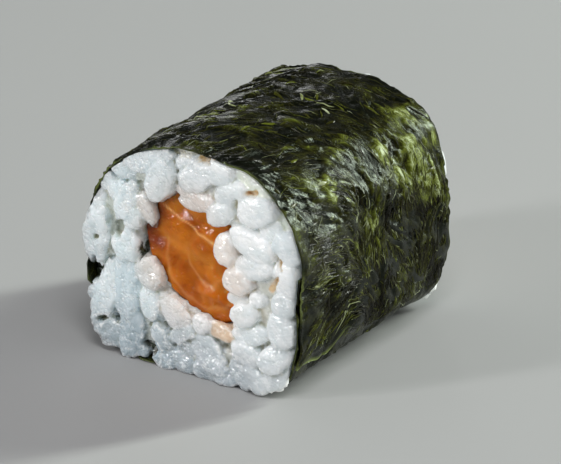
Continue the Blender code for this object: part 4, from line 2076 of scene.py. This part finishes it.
    def _fused(self, loose: Object) -> Mesh:
        """Make one skin round everything, as sticky grains have.

        Args:
            loose: The helper object, which is removed.

        Returns:
            The skin's mesh.
        """
        remesh = loose.modifiers.new("fuse", "REMESH")
        remesh.mode = "VOXEL"
        remesh.voxel_size = self.voxel * MM
        graph = bpy.context.evaluated_depsgraph_get()
        mesh = bpy.data.meshes.new_from_object(loose.evaluated_get(graph))
        mesh.name = self.name
        old = loose.data
        bpy.data.objects.remove(loose, do_unlink=True)
        bpy.data.meshes.remove(old)
        return mesh

    def _clear_salmon(self, points: Array) -> Array:
        """Push what lies in the salmon out of it, forward or sideways, whichever is nearer.

        Args:
            points: Rows of x, y and z.

        Returns:
            The rows, moved where they have to be.
        """
        face = FORM.length / 2 - SalmonStrip.depth
        away, edge = SALMON_OUTLINE.reach(points[:, 0], points[:, 2])
        depth = face - points[:, 1] * self.side + self.front_gap
        within = edge + self.touch_gap - away
        hit = (depth > 0) & (within > 0)
        forward = hit & (depth < within)
        sideways = hit & ~forward
        moved = points.copy()
        moved[forward, 1] += self.side * depth[forward]
        share = (edge[sideways] + self.touch_gap) / np.maximum(away[sideways], TINY)
        for axis, middle in ((0, SALMON_OUTLINE.across), (2, SALMON_OUTLINE.up)):
            moved[sideways, axis] = middle + (points[sideways, axis] - middle) * share
        return moved

    def _gap_shares(self, points: Array, wider: float = 0.0) -> list[Array]:
        """How far in each gap the points lie, where the gaps reach further by a share."""
        sway = lumps(points * (1.0, 0.0, 1.0), self.gap_spacing, seed=15.0) * self.gap_sway
        return [hollow.share(points[:, 0], points[:, 2], sway + wider) for hollow in self.hollows]

    def _hollowed(self, mesh: Mesh, points: Array) -> Array:
        """Push the front in where the gaps are, and smooth their walls.

        Args:
            mesh: The skin.
            points: Its points in millimetres.

        Returns:
            The moved points, none of them too far out.
        """
        moved, within = points.copy(), np.zeros(len(points))
        front = FORM.length / 2 + self.gap_front
        for hollow, share in zip(self.hollows, self._gap_shares(points)):
            floor = front - (hollow.depth + self.gap_front) * share
            depth = moved[:, 1] * self.side
            moved[:, 1] = self.side * np.where(share > 0, np.minimum(depth, floor), depth)
            within = np.maximum(within, share)
        moved = np.where(within[:, None] > 0, relax(mesh, moved, self.smoothing), moved)
        over = np.abs(moved[:, 1]) - FORM.length / 2 - self.furthest
        moved[:, 1] -= self.side * np.where(over > 0, over * 0.5, 0.0)
        return moved

    def _cap(self, mesh: Mesh) -> None:
        """Cut the hidden back off and close it with one flat face.

        Args:
            mesh: The skin.
        """
        y = self.side * (FORM.length / 2 - self.cap_depth) * MM
        made = bmesh.new()
        made.from_mesh(mesh)
        bmesh.ops.bisect_plane(
            made, geom=made.verts[:] + made.edges[:] + made.faces[:], plane_co=(0, y, 0),
            plane_no=(0, -self.side, 0), clear_outer=True, clear_inner=False,
        )
        corners = [vertex for vertex in made.verts if vertex.is_boundary]
        number = {vertex: index for index, vertex in enumerate(corners)}
        rim = [tuple(number[vertex] for vertex in edge.verts) for edge in made.edges if edge.is_boundary]
        places = [Vector((vertex.co.x, vertex.co.z)) / MM for vertex in corners]
        spots, _, triangles, sources, _, _ = delaunay_2d_cdt(places, rim, [], ONLY_INSIDE, TINY)
        spots, triangles = np.array(spots), np.array(triangles)
        filled = enclosed(spots[triangles].mean(axis=1), np.array(places)[np.array(rim)])
        ends = []
        for spot, source in zip(spots.tolist(), sources):
            ends.append(corners[source[0]] if source else made.verts.new((spot[0] * MM, y, spot[1] * MM)))
        for triangle in triangles[filled].tolist():
            made.faces.new([ends[index] for index in triangle][:: self.side])
        made.to_mesh(mesh)
        made.free()

    def _owner(self, points: Array) -> Array:
        """Find the grain that each point belongs to.

        Args:
            points: Rows of x, y and z.

        Returns:
            The grain's number for each point.
        """
        best = np.full(len(points), np.inf)
        owner = np.zeros(len(points), dtype=int)
        for number, placed in enumerate(self.placed):
            away = np.sqrt(((placed.local(points) / placed.half) ** 2).sum(axis=1))
            owner = np.where(away < best, number, owner)
            best = np.minimum(best, away)
        return owner

    def _dress(self, mesh: Mesh) -> None:
        """Keep on the vertices what the finish reads.

        Args:
            mesh: The skin.
        """
        points = read_points(mesh)
        owner = self._owner(points)
        tint = relax(mesh, self.skin.tint(points, self.placed, owner, self.draw), self.smoothing)
        # Gaps take their colour: painted shade in the grey and near-black ones.
        for hollow, share in zip(self.hollows, self._gap_shares(points)):
            tint += (share**2)[:, None] * (np.array(hollow.tint.value) - tint)
        store(mesh, "tint", tint)
        store(mesh, "lie", self.skin.lie(points, self.placed, owner))
        store(mesh, "mashed", fade(points[:, 0], *self.skin.mashed_gloss))
        # Edges and crevices, which the finish paints as highlights and shade.
        store(mesh, "cavity", self.skin.cavity(mesh, points, self._gap_shares(points, self.gap_shade)))


@dataclass
class Rice:
    """The cooked rice: both cut faces and the core between them."""

    finish: RiceFinish = field(default_factory=RiceFinish)
    sheet_gap: float = 0.51
    salmon_gap: float = 0.08
    face_gap: float = 0.02
    ring_count: int = 160
    stations: int = 30
    front_seed: int = 3
    back_seed: int = 8
    moved_seed: int = 21
    turned: float = 30.0
    moved: Span = (1.0, 0.8)

    def build(self) -> list[Object]:
        """Make the pieces of the rice.

        Returns:
            The front face, the back face and the core.
        """
        material = self.finish.build()
        sleeve = Sleeve(self.sheet_gap)
        front = RiceFace("rice_front", -1, FRONT_GRAINS, FRONT_HOLLOWS, sleeve, self.front_seed)
        back = RiceFace("rice_back", 1, self._back_grains(), BACK_HOLLOWS, sleeve, self.back_seed)
        return [front.build(material), back.build(material), self._core(front, material)]

    def _back_grains(self) -> list[Grain]:
        """Choose the grains of the hidden cut face: the same kinds as in front, in other places.

        Returns:
            The grains.
        """
        draw = np.random.default_rng(self.moved_seed)
        moved_x, moved_z = self.moved
        made = []
        for grain in FRONT_GRAINS:
            turn = grain.turn + draw.uniform(-self.turned, self.turned)
            across = grain.across + draw.uniform(-moved_x, moved_x)
            up = grain.up + draw.uniform(-moved_z, moved_z)
            made.append(replace(grain, across=across, up=up, turn=turn))
        return made

    def _core(self, face: RiceFace, material: Material) -> Object:
        """Make the rice between the two faces, a thick tube round the salmon.

        Args:
            face: The face that the tube meets.
            material: Its finish.

        Returns:
            The tube.
        """
        reach = FORM.length / 2 - face.cap_depth - self.face_gap
        stations = np.linspace(-reach, reach, self.stations)
        points, faces = face.sleeve.tube(stations, self.ring_count, 0.0, self.salmon_gap, flip=True)
        core = mesh_piece("rice_core", points, faces, material)
        store(core.data, "tint", np.tile(WHITE.value, (len(points), 1)))
        store(core.data, "cavity", np.zeros(len(points)))
        store(core.data, "lie", read_points(core.data))
        store(core.data, "mashed", np.zeros(len(points)))
        return core


# ---- Studio ----


@dataclass(frozen=True)
class AreaLamp:
    """A soft box: where it stands from the roll, in degrees and metres, its size and its power."""

    name: str
    azimuth: float
    elevation: float
    distance: float
    size: Span
    power: float
    colour: Colour = (1.0, 1.0, 1.0)

    def build(self, target: Vector) -> None:
        """Set the lamp up.

        Args:
            target: What it faces.
        """
        data = bpy.data.lights.new(self.name, "AREA")
        data.shape = "ELLIPSE"
        data.size, data.size_y = self.size
        data.energy = self.power
        data.color = self.colour
        lamp = link(bpy.data.objects.new(self.name, data))
        a, e = math.radians(self.azimuth), math.radians(self.elevation)
        away = Vector((math.sin(a) * math.cos(e), -math.cos(a) * math.cos(e), math.sin(e)))
        lamp.location = target + away * self.distance
        lamp.rotation_euler = away.to_track_quat("Z", "Y").to_euler()


@dataclass
class Studio:
    """A plain pale floor, soft lamps and the camera at the photograph's angle."""

    floor_tone: Colour = (0.38, 0.38, 0.38)
    floor_mottle: float = 1.02
    floor_half: float = 3000.0
    world_tone: Colour = (0.92, 0.96, 1.0)
    world_strength: float = 0.13
    camera_place: Triple = (277.93, -409.88, 228.98)
    azimuth: float = 34.0
    elevation: float = 23.7
    focal_pixels: float = 5000.0
    frame_width: int = 561
    sensor: float = 36.0
    lamps: tuple[AreaLamp, ...] = (
        AreaLamp("soft", 40.0, 57.0, 0.7, (0.28, 0.28), 2.2),
        AreaLamp("right_strip", 147.0, 24.0, 0.6, (0.06, 0.40), 4.6, (0.93, 1.0, 0.92)),
        AreaLamp("left_low", -141.0, 9.0, 0.6, (0.14, 0.14), 0.15),
        AreaLamp("top_strip", -145.0, 40.0, 0.6, (0.05, 0.20), 0.06),
        AreaLamp("face_strip", -34.0, 28.0, 0.6, (0.06, 0.22), 0.9),
        AreaLamp("face_low", -34.0, 7.5, 0.6, (0.07, 0.07), 1.3),
    )

    def build(self) -> None:
        """Set up floor, light and camera."""
        self._floor()
        target = (CAD_BOX[0] + CAD_BOX[1]) / 2
        for lamp in self.lamps:
            lamp.build(target)
        world = bpy.data.worlds.new("room")
        world.use_nodes = True
        background = world.node_tree.nodes["Background"]
        background.inputs["Color"].default_value = (*self.world_tone, 1.0)
        background.inputs["Strength"].default_value = self.world_strength
        bpy.context.scene.world = world
        bpy.context.scene.view_settings.view_transform = "Standard"
        self._camera()

    def _floor(self) -> None:
        """Lay a wide level floor that the roll rests on."""
        s = Sketch("floor")
        mottled = tuple(part * self.floor_mottle for part in self.floor_tone)
        tone = s.mix(s.noise(s.place(), 0.02, 2.0), self.floor_tone, mottled)
        material = s.finish(Base_Color=tone, Roughness=0.7, Specular_IOR_Level=0.2)
        corners = np.array([(-1, -1, 0), (1, -1, 0), (1, 1, 0), (-1, 1, 0)]) * self.floor_half
        mesh_piece("floor", corners, [[0, 1, 2, 3]], material)

    def _camera(self) -> None:
        """Set up the camera, at the lower right with a long lens."""
        data = bpy.data.cameras.new("camera")
        data.sensor_width = self.sensor
        data.lens = self.focal_pixels * self.sensor / self.frame_width
        camera = link(bpy.data.objects.new("camera", data))
        camera.location = Vector(self.camera_place) * MM
        turn = Matrix.Rotation(math.radians(self.azimuth), 4, "Z")
        rise = Matrix.Rotation(math.radians(90 - self.elevation), 4, "X")
        camera.rotation_euler = (turn @ rise).to_euler()
        bpy.context.scene.camera = camera


def join_frame(piece: Object, node: str) -> None:
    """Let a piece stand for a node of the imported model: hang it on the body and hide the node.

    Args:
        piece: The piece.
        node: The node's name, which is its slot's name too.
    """
    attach(piece, BODY)
    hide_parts(node)
    LOG.info("%s: %d faces", piece.name, len(piece.data.polygons))


def main() -> None:
    """Build the roll and the studio."""
    Studio().build()
    sheet = NoriSheet()
    join_frame(sheet.build(), "nori")
    join_frame(NoriFibres(sheet).build(), "nori")
    join_frame(SalmonStrip().build(), "salmon")
    for piece in Rice().build():
        join_frame(piece, "rice")


if __name__ == "__main__":
    logging.basicConfig(level=logging.INFO, format="%(name)s %(message)s")
    main()
